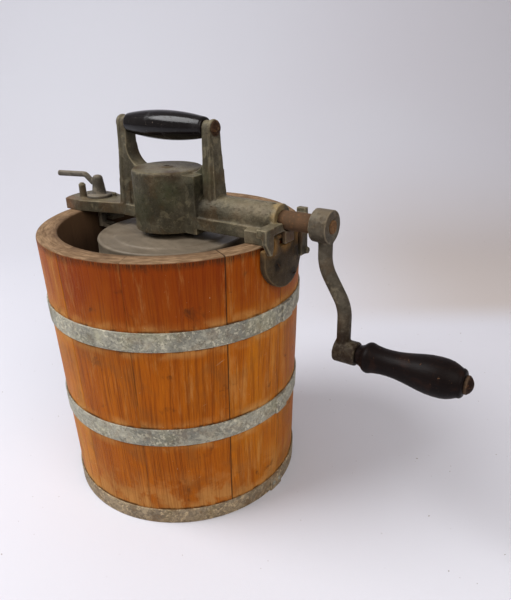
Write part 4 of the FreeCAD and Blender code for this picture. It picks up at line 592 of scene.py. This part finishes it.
def heads_tree():
    """Geometry nodes that set a domed head on each point, facing along the point's attribute. A
    slot wider than nothing is cut across it."""
    t, value = mesh_group("set_heads", ("Radius", "Rise", "Slot"))
    ball = t.out("GeometryNodeMeshUVSphere", 0, {"Segments": 24, "Rings": 12, "Radius": 1.0})
    flat = t.join(value["Radius"], value["Radius"], value["Rise"])
    dome = t.out("GeometryNodeTransform", 0, {"Geometry": ball, "Scale": flat})
    size = t.join(value["Radius"] * 3.0, value["Slot"], value["Rise"])
    bar = t.out("GeometryNodeMeshCube", 0, {"Size": size})
    above = t.join(0.0, 0.0, value["Rise"])
    bar = t.out("GeometryNodeTransform", 0, {"Geometry": bar, "Translation": above})
    cut = t.out("GeometryNodeMeshBoolean", 0, {"Mesh 1": dome, "Mesh 2": bar}, operation="DIFFERENCE")
    head = t.out("GeometryNodeSwitch", 0, {0: value["Slot"], 1: dome, 2: cut}, input_type="GEOMETRY")
    way = t.out("GeometryNodeInputNamedAttribute", 0, {"Name": "facing"}, data_type="FLOAT_VECTOR")
    turn = t.out("FunctionNodeAlignRotationToVector", 0, {"Vector": way}, axis="Z")
    # Each slot stands at another angle.
    angle = t.out("GeometryNodeInputIndex", 0) * 1.1 + 0.5
    own = t.out("FunctionNodeAxisAngleToRotation", 0, {"Axis": (0, 0, 1), "Angle": angle})
    spun = t.out("FunctionNodeRotateRotation", 0, {"Rotation": turn, "Rotate By": own},
                 rotation_space="LOCAL")
    placed = t.out("GeometryNodeInstanceOnPoints", 0,
                   {"Points": value["Geometry"], "Instance": head, "Rotation": spun})
    return give_mesh(t, placed, value["Finish"])


def heads(places, radius, rise, slot, finish):
    """Domed heads at places, each a pair of position and direction."""
    group = bpy.data.node_groups.get("set_heads") or heads_tree()
    mesh = bpy.data.meshes.new("places")
    mesh.from_pydata([position for position, way in places], [], [])
    facing = mesh.attributes.new("facing", "FLOAT_VECTOR", "POINT")
    for item, (position, way) in zip(facing.data, places):
        item.vector = way
    values = {"Radius": radius, "Rise": rise, "Slot": slot, "Finish": finish}
    return applied(mesh, [("NODES", tree_settings(group, values))])


def outwards(angle, reach, height):
    """A point at an angle round the Z axis, and its way outwards."""
    way = Vector((math.cos(angle), math.sin(angle), 0))
    return way * reach + Vector((0, 0, height)), way


def dress(material, *nodes):
    """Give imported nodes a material."""
    for node in nodes:
        for slot in bpy.data.objects[node].material_slots:
            slot.material = material


# ---- settings
def length(name, description, default):
    return FloatProperty(name=name, description=description, default=default, unit="LENGTH", precision=4)


def colour(name, description, default):
    return FloatVectorProperty(name=name, description=description, default=default, subtype="COLOR",
                               min=0.0, max=1.0)


class TubSizes(bpy.types.PropertyGroup):
    """Sizes of the wooden tub."""

    rim_radius: length("Rim radius", "Outside of the staves at the rim", high("stave_12", 0))
    base_radius: length("Base radius", "Outside of the staves at the floor", 0.124)
    height: length("Height", "Floor to rim", high("stave_01", 2))
    wall: length("Wall", "Thickness of the staves", 0.021)
    joint_depth: length("Joint depth", "How far a stave's edges are eased", 0.0003)
    joint_width: length("Joint width", "Width of the eased edge", 0.0008)
    wave: length("Waviness", "Unevenness of the staves' faces", 0.0007)

    @property
    def slope(self):
        return (self.rim_radius - self.base_radius) / self.height

    def outside(self, z):
        return self.base_radius + self.slope * z

    def inside(self, z):
        return self.outside(z) - self.wall


class HoopSizes(bpy.types.PropertyGroup):
    """Sizes of the hoops."""

    thick: length("Strip", "Thickness of the hoop strip", 0.0015)
    gap: length("Gap", "Clearance to the staves", 0.0001)
    dent: length("Dents", "Unevenness of the strip", 0.0005)
    rivet: length("Rivet", "Radius of the rivet heads", 0.0026)


class HandleSizes(bpy.types.PropertyGroup):
    """Sizes of the carry grip and the crank's knob."""

    grip_end: length("Grip end", "Radius of the carry grip's ends", 0.0093)
    grip_middle: length("Grip middle", "Radius of the carry grip's middle", 0.0139)
    knob_bulb: length("Knob bulb", "Largest radius of the knob", high("crank_knob", 1))


class Looks(bpy.types.PropertyGroup):
    """Colours of the main finishes."""

    varnish: colour("Varnish", "Varnished pine", (0.46, 0.118, 0.0030))
    bare_wood: colour("Bare wood", "Pine where the varnish has worn off", (0.50, 0.250, 0.075))
    zinc: colour("Zinc", "Galvanised strip", (0.365, 0.350, 0.282))
    iron: colour("Cast iron", "Tinned casting", (0.098, 0.085, 0.057))
    enamel: colour("Enamel", "Carry grip", (0.0065, 0.005, 0.005))
    cloth: colour("Cloth", "Floor and backdrop", (0.690, 0.695, 0.750))


class StageSettings(bpy.types.PropertyGroup):
    """Lamps and surroundings."""

    key_power: FloatProperty(name="Key lamp", description="Large soft lamp", default=34.0, unit="POWER")
    fill_power: FloatProperty(name="Fill lamp", description="Soft lamp on the other side", default=12.0,
                              unit="POWER")
    sky: FloatProperty(name="Sky", description="Strength of the light from all round", default=0.38)


# ---- operators
class Builder:
    """What every building operator shares."""

    bl_options = {"REGISTER", "UNDO"}

    def execute(self, context):
        self.build(context.scene)
        return {"FINISHED"}


class FREEZER_OT_staves(Builder, bpy.types.Operator):
    """Cut the staves, each with eased edges and a groove for the bottom"""

    bl_idname = "freezer.staves"
    bl_label = "Staves"

    def build(self, scene):
        tub, look = scene.freezer_tub, scene.freezer_looks
        edge, outer, inner, play, slack, step = 0.001, 0.0022, 0.0018, 0.0002, 0.0004, 0.008
        inside, outside = tub.inside, tub.outside
        foot, top = low("stave_01", 2), tub.height
        under, over = low("bottom_board_middle", 2), high("bottom_board_middle", 2)
        groove = high("bottom_board_middle", 0) + slack
        # Section of a stave: foot, rounded rim, and the groove round the bottom boards.
        line = [(inside(foot) + edge, foot), (outside(foot) - edge, foot), (outside(foot), foot + edge)]
        line += rounded((outside(top) - outer, top - outer), outer, 0, 90)
        line += rounded((inside(top) + inner, top - inner), inner, 90, 180)
        line += [(inside(over + edge), over + edge), (groove, over + play)]
        line += [(groove, under - play), (inside(under - edge), under - edge)]
        points = stepped(line, step)
        end = FIRST_JOINT
        for index, (span, tone) in enumerate(zip(STAVE_ANGLES, STAVE_TONES), start=1):
            finish = stave_finish(index, end, span, tone, look, tub)
            steps = round(span * 0.9)
            mesh = swept(points, end - span, end, steps, finish, Crowd_Ends=1.0,
                         Middle_Radius=tub.base_radius - tub.wall / 2, Middle_Slope=tub.slope,
                         Joint_Depth=tub.joint_depth, Joint_Width=tub.joint_width,
                         Wave=tub.wave, Wave_Scale=16.0, Seed=index * 1.7)
            node = "stave_%02d" % index
            new_piece(node + "_dressed", mesh, "tub", [node], finish)
            end -= span


class FREEZER_OT_floor(Builder, bpy.types.Operator):
    """Finish the bottom boards and the pivot that the can turns on"""

    bl_idname = "freezer.floor"
    bl_label = "Tub floor"

    def build(self, scene):
        boards = bare_wood_finish("board_wood", (0.24, 0.145, 0.075), (0.11, 0.060, 0.028), "x")
        dress(boards, "bottom_board_back", "bottom_board_middle", "bottom_board_front")
        dress(cast_finish("pivot_iron", (0.10, 0.09, 0.07), dirt_and_shade=0.8), "floor_pivot")
        dress(rust_finish("screw_rust"), "pivot_screws")


class FREEZER_OT_hoops(Builder, bpy.types.Operator):
    """Bend the hoops, lap their ends and set the rivets"""

    bl_idname = "freezer.hoops"
    bl_label = "Hoops"

    def build(self, scene):
        tub, hoop = scene.freezer_tub, scene.freezer_hoops
        base = list(scene.freezer_looks.zinc)
        zinc = zinc_finish("hoop_zinc", base, 0.55, 0.25)
        crusted = zinc_finish("hoop_crust", tinted(base, 0.88, 0.72, 0.58), 0.75, 0.5)
        gap, thick, sunk, rivets = hoop.gap, hoop.thick, 0.0002, []
        for name, place in LAP_PLACES.items():
            bottom, top = low(name, 2), high(name, 2)
            coat = crusted if name == "hoop_lower" else zinc
            ring = self.strip(tub, bottom, top, gap, gap + thick)
            lap = self.strip(tub, bottom, top, gap + 0.5 * thick, gap + 2 * thick)
            band = swept(ring, 0, 360, 241, coat, Middle_Radius=tub.base_radius + gap,
                         Middle_Slope=tub.slope, Wave=hoop.dent, Wave_Scale=30.0, Seed=bottom * 100)
            over = swept(lap, place - LAP_ANGLE / 2, place + LAP_ANGLE / 2, 24, coat,
                         Crowd_Ends=1.0, Joint_Depth=0.0006, Joint_Width=0.0009)
            new_piece(name + "_band", merged([band, over]), "tub", [name], coat)
            middle = (bottom + top) / 2
            surface = tub.outside(middle) + gap + 2 * thick - sunk
            for side in (-0.25, 0.25):
                rivets.append(outwards(math.radians(place + side * LAP_ANGLE), surface, middle))
        mesh = heads(rivets, hoop.rivet, hoop.rivet * 0.5, 0.0, zinc)
        new_piece("hoop_rivet_heads", mesh, "tub", ["hoop_rivets"], zinc)

    def strip(self, tub, bottom, top, inner, outer):
        """Section of a hoop that follows the staves' taper, with its outer corners eased."""
        ease = 0.0004
        corners = [(inner, bottom), (outer - ease, bottom), (outer, bottom + ease),
                   (outer, top - ease), (outer - ease, top), (inner, top)]
        return stepped([(tub.outside(z) + offset, z) for offset, z in corners], 0.0032)


class FREEZER_OT_bracket(Builder, bpy.types.Operator):
    """Cast the bracket on the tub's side, with its pin and slotted screws"""

    bl_idname = "freezer.bracket"
    bl_label = "Bracket"

    def build(self, scene):
        grime, ochre = (0.009, 0.006, 0.004), (0.22, 0.115, 0.034)
        shade = (0.030, 0.020, 0.010)
        marks = [
            (137, -13.5, 265, 8.5, 0.9, grime), (137, 13.5, 250, 8.5, 0.9, grime),
            (137, 0, 272, 18, 0.6, shade), (136, -24, 284, 12, 0.8, ochre),
            (136, 22, 286, 12, 0.7, ochre), (138, 0, 284, 12, 0.8, ochre),
        ]
        iron = cast_finish("bracket_iron", (0.066, 0.046, 0.025), dirt_and_shade=0.9, gloss=0.06, marks=marks)
        softened("bracket_cast", "bracket", "tub", iron, 0.0009, 3)
        rust = rust_finish("pin_rust", (0.130, 0.062, 0.020), (0.33, 0.190, 0.060))
        dress(rust, "bracket_pin")
        dark = rust_finish("screw_head_rust", (0.085, 0.058, 0.038), (0.19, 0.115, 0.062))
        outer, radius, rise, slot, aside = high("bracket_screws", 0), 0.0046, 0.0021, 0.0011, 0.0135
        upper, lower = high("bracket_screws", 2) - radius, low("bracket_screws", 2) + radius
        # Each head's side, height and how far its middle lies inside the outermost point.
        places = [outwards(side * math.asin(aside / outer), outer - sink, height)
                  for side, height, sink in ((-1, upper, 0.0015), (1, lower, 0.0019))]
        mesh = heads(places, radius, rise, slot, dark)
        new_piece("bracket_screw_heads", mesh, "tub", ["bracket_screws"], dark)


class FREEZER_OT_can(Builder, bpy.types.Operator):
    """Turn the lid and finish the can"""

    bl_idname = "freezer.can"
    bl_label = "Can and lid"

    def build(self, scene):
        tin = tin_finish("lid_tin", (0.165, 0.132, 0.096), metallic=0.08)
        dress(tin_finish("can_tin", (0.30, 0.28, 0.24)), "can_wall")
        dress(cast_finish("can_bottom_iron", (0.20, 0.19, 0.165), dirt_and_shade=0.4), "can_bottom")
        rim, bottom, lug_top = high("can_lid", 0), low("can_lid", 2), high("can_lid", 2)
        under = high("can_wall", 2)
        wall, hole, edge = 0.0024, 0.0064, 0.0022
        lug_x, lug_y, lug_lift, lug_size = 0.0185, 0.0056, 0.0018, (0.005, 0.004, 0.0042)
        top = lug_top - 0.004
        ledge = top - 0.001
        # Section of the lid: underside, rolled rim, rounded shoulder, ledge and raised middle.
        line = [(hole, under), (rim - wall, under), (rim - wall, bottom + 0.0006)]
        line += rounded((rim - wall / 2, bottom + 0.0012), wall / 2, 180, 360, 6)
        line += [(rim - 0.0004, bottom + 0.003), (rim - 0.0004, ledge - 0.004)]
        line += rounded((rim - edge, ledge - edge), edge, 0, 90, 7)
        line += [(rim - 0.0036, ledge - 0.0003), (rim - 0.0052, ledge - 0.0008),
                 (rim - 0.0085, ledge - 0.0008)]
        line += [(0.0600, ledge - 0.0006), (0.0590, ledge - 0.0002), (0.0582, ledge + 0.0006)]
        line += [(0.0570, top - 0.0001), (0.0555, top), (hole + 0.0006, top), (hole, top - 0.0006)]
        plate = swept(stepped(line, 0.004), 0, 360, 181, tin)
        shape = bmesh.new()
        for sx in (-1, 1):
            for sy in (-1, 1):
                centre = Matrix.Translation((sx * lug_x, sy * lug_y, top + lug_lift))
                bmesh.ops.create_cube(shape, size=1, matrix=centre @ Matrix.Diagonal((*lug_size, 1)))
        bmesh.ops.bevel(shape, geom=shape.edges, offset=0.0006, segments=2, affect="EDGES")
        lugs = bpy.data.meshes.new("lugs")
        shape.to_mesh(lugs)
        shape.free()
        new_piece("can_lid_pressed", merged([plate, lugs]), "lid", ["can_lid"], tin, smooth=30)


class FREEZER_OT_dasher(Builder, bpy.types.Operator):
    """Finish the dasher and its scrapers"""

    bl_idname = "freezer.dasher"
    bl_label = "Dasher"

    def build(self, scene):
        dress(cast_finish("dasher_iron", (0.27, 0.26, 0.235), dirt_and_shade=0.35, metallic=0.5), "dasher_frame")
        dress(bare_wood_finish("scraper_wood", (0.46, 0.32, 0.18), (0.27, 0.16, 0.08), "z"),
              "scraper_left", "scraper_right")
        dress(rust_finish("rivet_rust"), "scraper_rivets")


class FREEZER_OT_gear_frame(Builder, bpy.types.Operator):
    """Cast the gear frame and close it with its plate"""

    bl_idname = "freezer.gear_frame"
    bl_label = "Gear frame"

    def build(self, scene):
        grease_and_shade, rust, crust = (0.012, 0.009, 0.006), (0.15, 0.062, 0.022), (0.30, 0.205, 0.085)
        moss, brown, tan = (0.048, 0.054, 0.024), (0.050, 0.028, 0.014), (0.210, 0.165, 0.105)
        loam, hole = (0.100, 0.058, 0.028), (0.006, 0.004, 0.003)
        # The grease marks on the housing and the brown mark at 60 mm on the right upright are grime and
        # painted shade, chiefly in the recess between the housing and the upright; the hole mark paints the
        # dark inside of the hole in the middle of the housing's top as painted shade.
        marks = [
            (30, -36, 320, 26, 0.7, moss), (-10, -36, 305, 24, 0.5, moss), (52, -10, 330, 22, 0.5, moss),
            (46, -14, 322, 16, 0.7, grease_and_shade), (50, -10, 303, 16, 0.7, grease_and_shade),
            (0, -36, 300, 30, 0.3, grease_and_shade), (-131, -22, 290, 16, 0.7, rust),
            (-112, -12, 297, 20, 0.5, loam), (-70, -16, 292, 20, 0.4, loam),
            (0, 0, 339, 5.8, 1.0, hole), (0, 0, 339, 14, 0.55, brown), (-24, -16, 339, 13, 0.75, brown),
            (22, -20, 339, 14, 0.75, brown), (20, 22, 339, 15, 0.7, brown), (-22, 20, 339, 12, 0.6, brown),
            (60, -12, 322, 14, 0.55, brown), (98, -18, 312, 18, 0.45, tan), (118, -14, 316, 16, 0.5, tan),
            (108, -22, 291, 20, 0.45, tan), (134, -4, 317, 10, 0.75, crust), (134, -12, 308, 7, 0.6, crust),
            (140, 10, 290, 22, 0.6, rust),
        ]
        iron = cast_finish("frame_iron", list(scene.freezer_looks.iron), dirt_and_shade=0.7, bright=0.52, marks=marks)
        softened("gear_frame_cast", "gear_frame", "gear_frame", iron, 0.0008, 2, keep=0.35)
        dress(cast_finish("cover_iron", (0.12, 0.11, 0.09)), "gear_cover")
        dress(rust_finish("cover_screw_rust"), "cover_screws")


class FREEZER_OT_carry_grip(Builder, bpy.types.Operator):
    """Turn the carry grip and finish its bolt"""

    bl_idname = "freezer.carry_grip"
    bl_label = "Carry grip"

    def build(self, scene):
        size = scene.freezer_handles
        enamel = enamel_finish(scene.freezer_looks)
        reach = (high("carry_grip", 0) - low("carry_grip", 0)) / 2
        middle = (high("carry_grip", 0) + low("carry_grip", 0)) / 2
        height = (low("carry_grip", 2) + high("carry_grip", 2)) / 2
        end, rise, bore = size.grip_end, size.grip_middle - size.grip_end, 0.0036
        # A swelling middle between two ends with small roundings.
        shares = [i / 20 for i in range(-19, 20)]
        line = [(bore, -reach), (end - 0.0008, -reach), (end + 0.0002, -reach + 0.0009)]
        line += [(end + rise * (1 - share ** 2), share * reach) for share in shares]
        line += [(end + 0.0002, reach - 0.0009), (end - 0.0008, reach), (bore, reach)]
        mesh = along_x(swept(line, 0, 360, 73, enamel), height)
        mesh.transform(Matrix.Translation((middle, 0, 0)))
        new_piece("carry_grip_turned", mesh, "gear_frame", ["carry_grip"], enamel)
        dress(rust_finish("bolt_rust", (0.060, 0.034, 0.020), (0.16, 0.075, 0.03), 0.4), "carry_grip_bolt")


class FREEZER_OT_crank(Builder, bpy.types.Operator):
    """Cast the crank arm and finish the shaft, its sleeve and the pinion"""

    bl_idname = "freezer.crank"
    bl_label = "Crank"

    def build(self, scene):
        marks = [(205, 0, 186, 50, 1.0, (0.020, 0.011, 0.005))]
        iron = cast_finish("crank_iron", (0.094, 0.079, 0.057), dirt_and_shade=0.5, marks=marks)
        softened("crank_arm_cast", "crank_arm", "crank", iron, 0.0008, 4)
        dress(rust_finish("shaft_rust", (0.16, 0.075, 0.028), (0.33, 0.16, 0.055)), "crankshaft")
        dress(rust_finish("sleeve_rust", (0.052, 0.018, 0.007), (0.13, 0.048, 0.014)), "shaft_sleeve")
        dress(cast_finish("pinion_iron", (0.11, 0.10, 0.085), dirt_and_shade=0.8), "bevel_pinion")
        dress(rust_finish("pinion_pin_rust"), "pinion_pin")
        dress(rust_finish("spindle_rust", (0.035, 0.020, 0.014), (0.11, 0.05, 0.024), 0.3), "knob_spindle")


class FREEZER_OT_knob(Builder, bpy.types.Operator):
    """Turn the crank's wooden knob"""

    bl_idname = "freezer.knob"
    bl_label = "Knob"

    def build(self, scene):
        wood = knob_finish()
        start, end = low("crank_knob", 0), high("crank_knob", 0)
        height = (low("crank_knob", 2) + high("crank_knob", 2)) / 2
        bulb = scene.freezer_handles.knob_bulb
        bore = 0.0044
        # Radius in mm at each distance in mm from the elbow end: collar, flare, waist, bulb, end bead.
        shape = [(0, 8.2), (0.8, 8.8), (3, 9.2), (5.5, 10.4), (8, 12.6), (9.6, 13.5), (11.5, 13.8),
                 (13.4, 13.5), (15, 12.9), (18, 12.3), (24, 11.6), (30, 11.5), (37, 11.9), (44, 12.9),
                 (51, 14.2), (58, 15.6), (65, 16.6), (72, 17.0), (78, 16.8), (83, 15.9), (87, 14.4),
                 (90, 12.9), (91.4, 12.4), (92.2, 12.5), (93.4, 12.0), (94.5, 10.9), (95, 9.6)]
        full_length = shape[-1][0]
        largest = max(r for x, r in shape)
        line = [(bore, start)]
        line += [(r * bulb / largest, start + x * (end - start) / full_length) for x, r in shape]
        line += [(bore, end)]
        mesh = along_x(swept(line, 0, 360, 97, wood), height)
        new_piece("crank_knob_turned", mesh, "knob", ["crank_knob"], wood, smooth=50)


class FREEZER_OT_gears(Builder, bpy.types.Operator):
    """Finish the can gear and its driver"""

    bl_idname = "freezer.gears"
    bl_label = "Can gear"

    def build(self, scene):
        dress(cast_finish("gear_iron", (0.13, 0.12, 0.10), dirt_and_shade=0.85), "can_gear", "can_driver")


class FREEZER_OT_latch(Builder, bpy.types.Operator):
    """Finish the latch lever, its hook and the keeper"""

    bl_idname = "freezer.latch"
    bl_label = "Latch"

    def build(self, scene):
        iron = cast_finish("latch_iron", (0.115, 0.100, 0.080), dirt_and_shade=0.5, bright=0.6)
        softened("latch_lever_forged", "latch_lever", "latch", iron, 0.0006, 3)
        dress(iron, "latch_hook")
        dress(cast_finish("keeper_iron", (0.09, 0.075, 0.055), dirt_and_shade=0.8), "latch_keeper")
        dress(rust_finish("keeper_screw_rust"), "keeper_screws")


class FREEZER_OT_stage(Builder, bpy.types.Operator):
    """Lay the floor and set the lamps, the world and the camera"""

    bl_idname = "freezer.stage"
    bl_label = "Stage"

    def build(self, scene):
        settings = scene.freezer_stage
        self.hang_backdrop(scene)
        self.light_world(scene, settings.sky)
        self.add_lamp("key_lamp", (-0.80, -0.75, 1.60), settings.key_power, 1.1, (0.98, 0.985, 1.0))
        self.add_lamp("fill_lamp", (1.10, -0.55, 1.25), settings.fill_power, 1.3, (1.0, 0.94, 0.90))
        self.place_camera(scene)
        scene.view_settings.view_transform = "Standard"

    def hang_backdrop(self, scene):
        """A sheet that lies under the object and curves up behind it."""
        near, bend, radius, top, half, steps = -3.5, 0.75, 0.9, 3.2, 4.5, 24
        curve = rounded((bend, radius), radius, -90, 0, steps)
        profile = [(near, 0.0), *curve, (bend + radius, top)]
        points = [(across, away, height) for away, height in profile for across in (-half, half)]
        faces = [(2 * i, 2 * i + 1, 2 * i + 3, 2 * i + 2) for i in range(len(profile) - 1)]
        mesh = bpy.data.meshes.new("backdrop")
        mesh.from_pydata(points, [], faces)
        mesh.transform(Matrix.Rotation(VIEW_TURN, 4, "Z"))
        mesh.shade_smooth()
        mesh.materials.append(cloth_finish(scene.freezer_looks))
        backdrop = new_object("backdrop", mesh)

    def light_world(self, scene, strength):
        """Even light from all round; the camera sees it brighter, as a pale backdrop."""
        shown = 0.9
        world = bpy.data.worlds.new("studio")
        world.use_nodes = True
        scene.world = world
        tree = Tree(world.node_tree)
        background = world.node_tree.nodes["Background"]
        rays = tree.add("ShaderNodeLightPath")
        seen = tree.most(Wire(tree, rays.outputs["Is Camera Ray"]),
                         Wire(tree, rays.outputs["Is Transmission Ray"]))
        tree.feed(background.inputs["Color"], (0.91, 0.89, 0.88, 1.0))
        tree.feed(background.inputs["Strength"], strength + seen * (shown - strength))

    def add_lamp(self, name, place, power, size, tint):
        data = bpy.data.lights.new(name, "AREA")
        data.energy = power
        data.shape = "DISK"
        data.size = size
        data.color = tint
        lamp = new_object(name, data)
        middle = Vector((0, 0, 0.2))
        aim = middle - Vector(place)
        lamp.matrix_world = Matrix.Translation(place) @ aim.to_track_quat("-Z", "Y").to_matrix().to_4x4()

    def place_camera(self, scene):
        """A camera above the table's edge, turned a little to the right of the crank's plane."""
        elevation, roll = 0.409, -0.022
        away, side, height = 0.58553, math.radians(43.03), 0.44394
        data = bpy.data.cameras.new("camera")
        data.sensor_width = data.sensor_height = 36
        data.sensor_fit = "AUTO"
        data.lens = 34.706
        camera = new_object("camera", data)
        place = Matrix.Translation((away * math.sin(side), -away * math.cos(side), height))
        turn = Matrix.Rotation(VIEW_TURN, 4, "Z") @ Matrix.Rotation(math.pi / 2 - elevation, 4, "X")
        camera.matrix_world = place @ turn @ Matrix.Rotation(roll, 4, "Z")
        scene.camera = camera


STEPS = [FREEZER_OT_stage, FREEZER_OT_staves, FREEZER_OT_floor, FREEZER_OT_hoops, FREEZER_OT_bracket,
         FREEZER_OT_can, FREEZER_OT_dasher, FREEZER_OT_gear_frame, FREEZER_OT_carry_grip, FREEZER_OT_crank,
         FREEZER_OT_knob, FREEZER_OT_gears, FREEZER_OT_latch]


class FREEZER_PT_panel(bpy.types.Panel):
    """Lists the settings and the building steps"""

    bl_idname = "FREEZER_PT_panel"
    bl_label = "Freezer"
    bl_space_type = "VIEW_3D"
    bl_region_type = "UI"
    bl_category = "Freezer"

    def draw(self, context):
        for name in GROUPS:
            settings = getattr(context.scene, name)
            box = self.layout.box()
            for item in settings.bl_rna.properties:
                if item.identifier not in ("rna_type", "name"):
                    box.prop(settings, item.identifier)
        for step in STEPS:
            self.layout.operator(step.bl_idname)


GROUPS = {"freezer_tub": TubSizes, "freezer_hoops": HoopSizes, "freezer_handles": HandleSizes,
          "freezer_looks": Looks, "freezer_stage": StageSettings}


def register():
    for cls in (*GROUPS.values(), *STEPS, FREEZER_PT_panel):
        bpy.utils.register_class(cls)
    for name, cls in GROUPS.items():
        setattr(bpy.types.Scene, name, PointerProperty(type=cls))


def unregister():
    for name in GROUPS:
        delattr(bpy.types.Scene, name)
    for cls in reversed((*GROUPS.values(), *STEPS, FREEZER_PT_panel)):
        bpy.utils.unregister_class(cls)


def main():
    register()
    for step in STEPS:
        group, name = step.bl_idname.split(".")
        getattr(getattr(bpy.ops, group), name)()


if __name__ == "__main__":
    main()
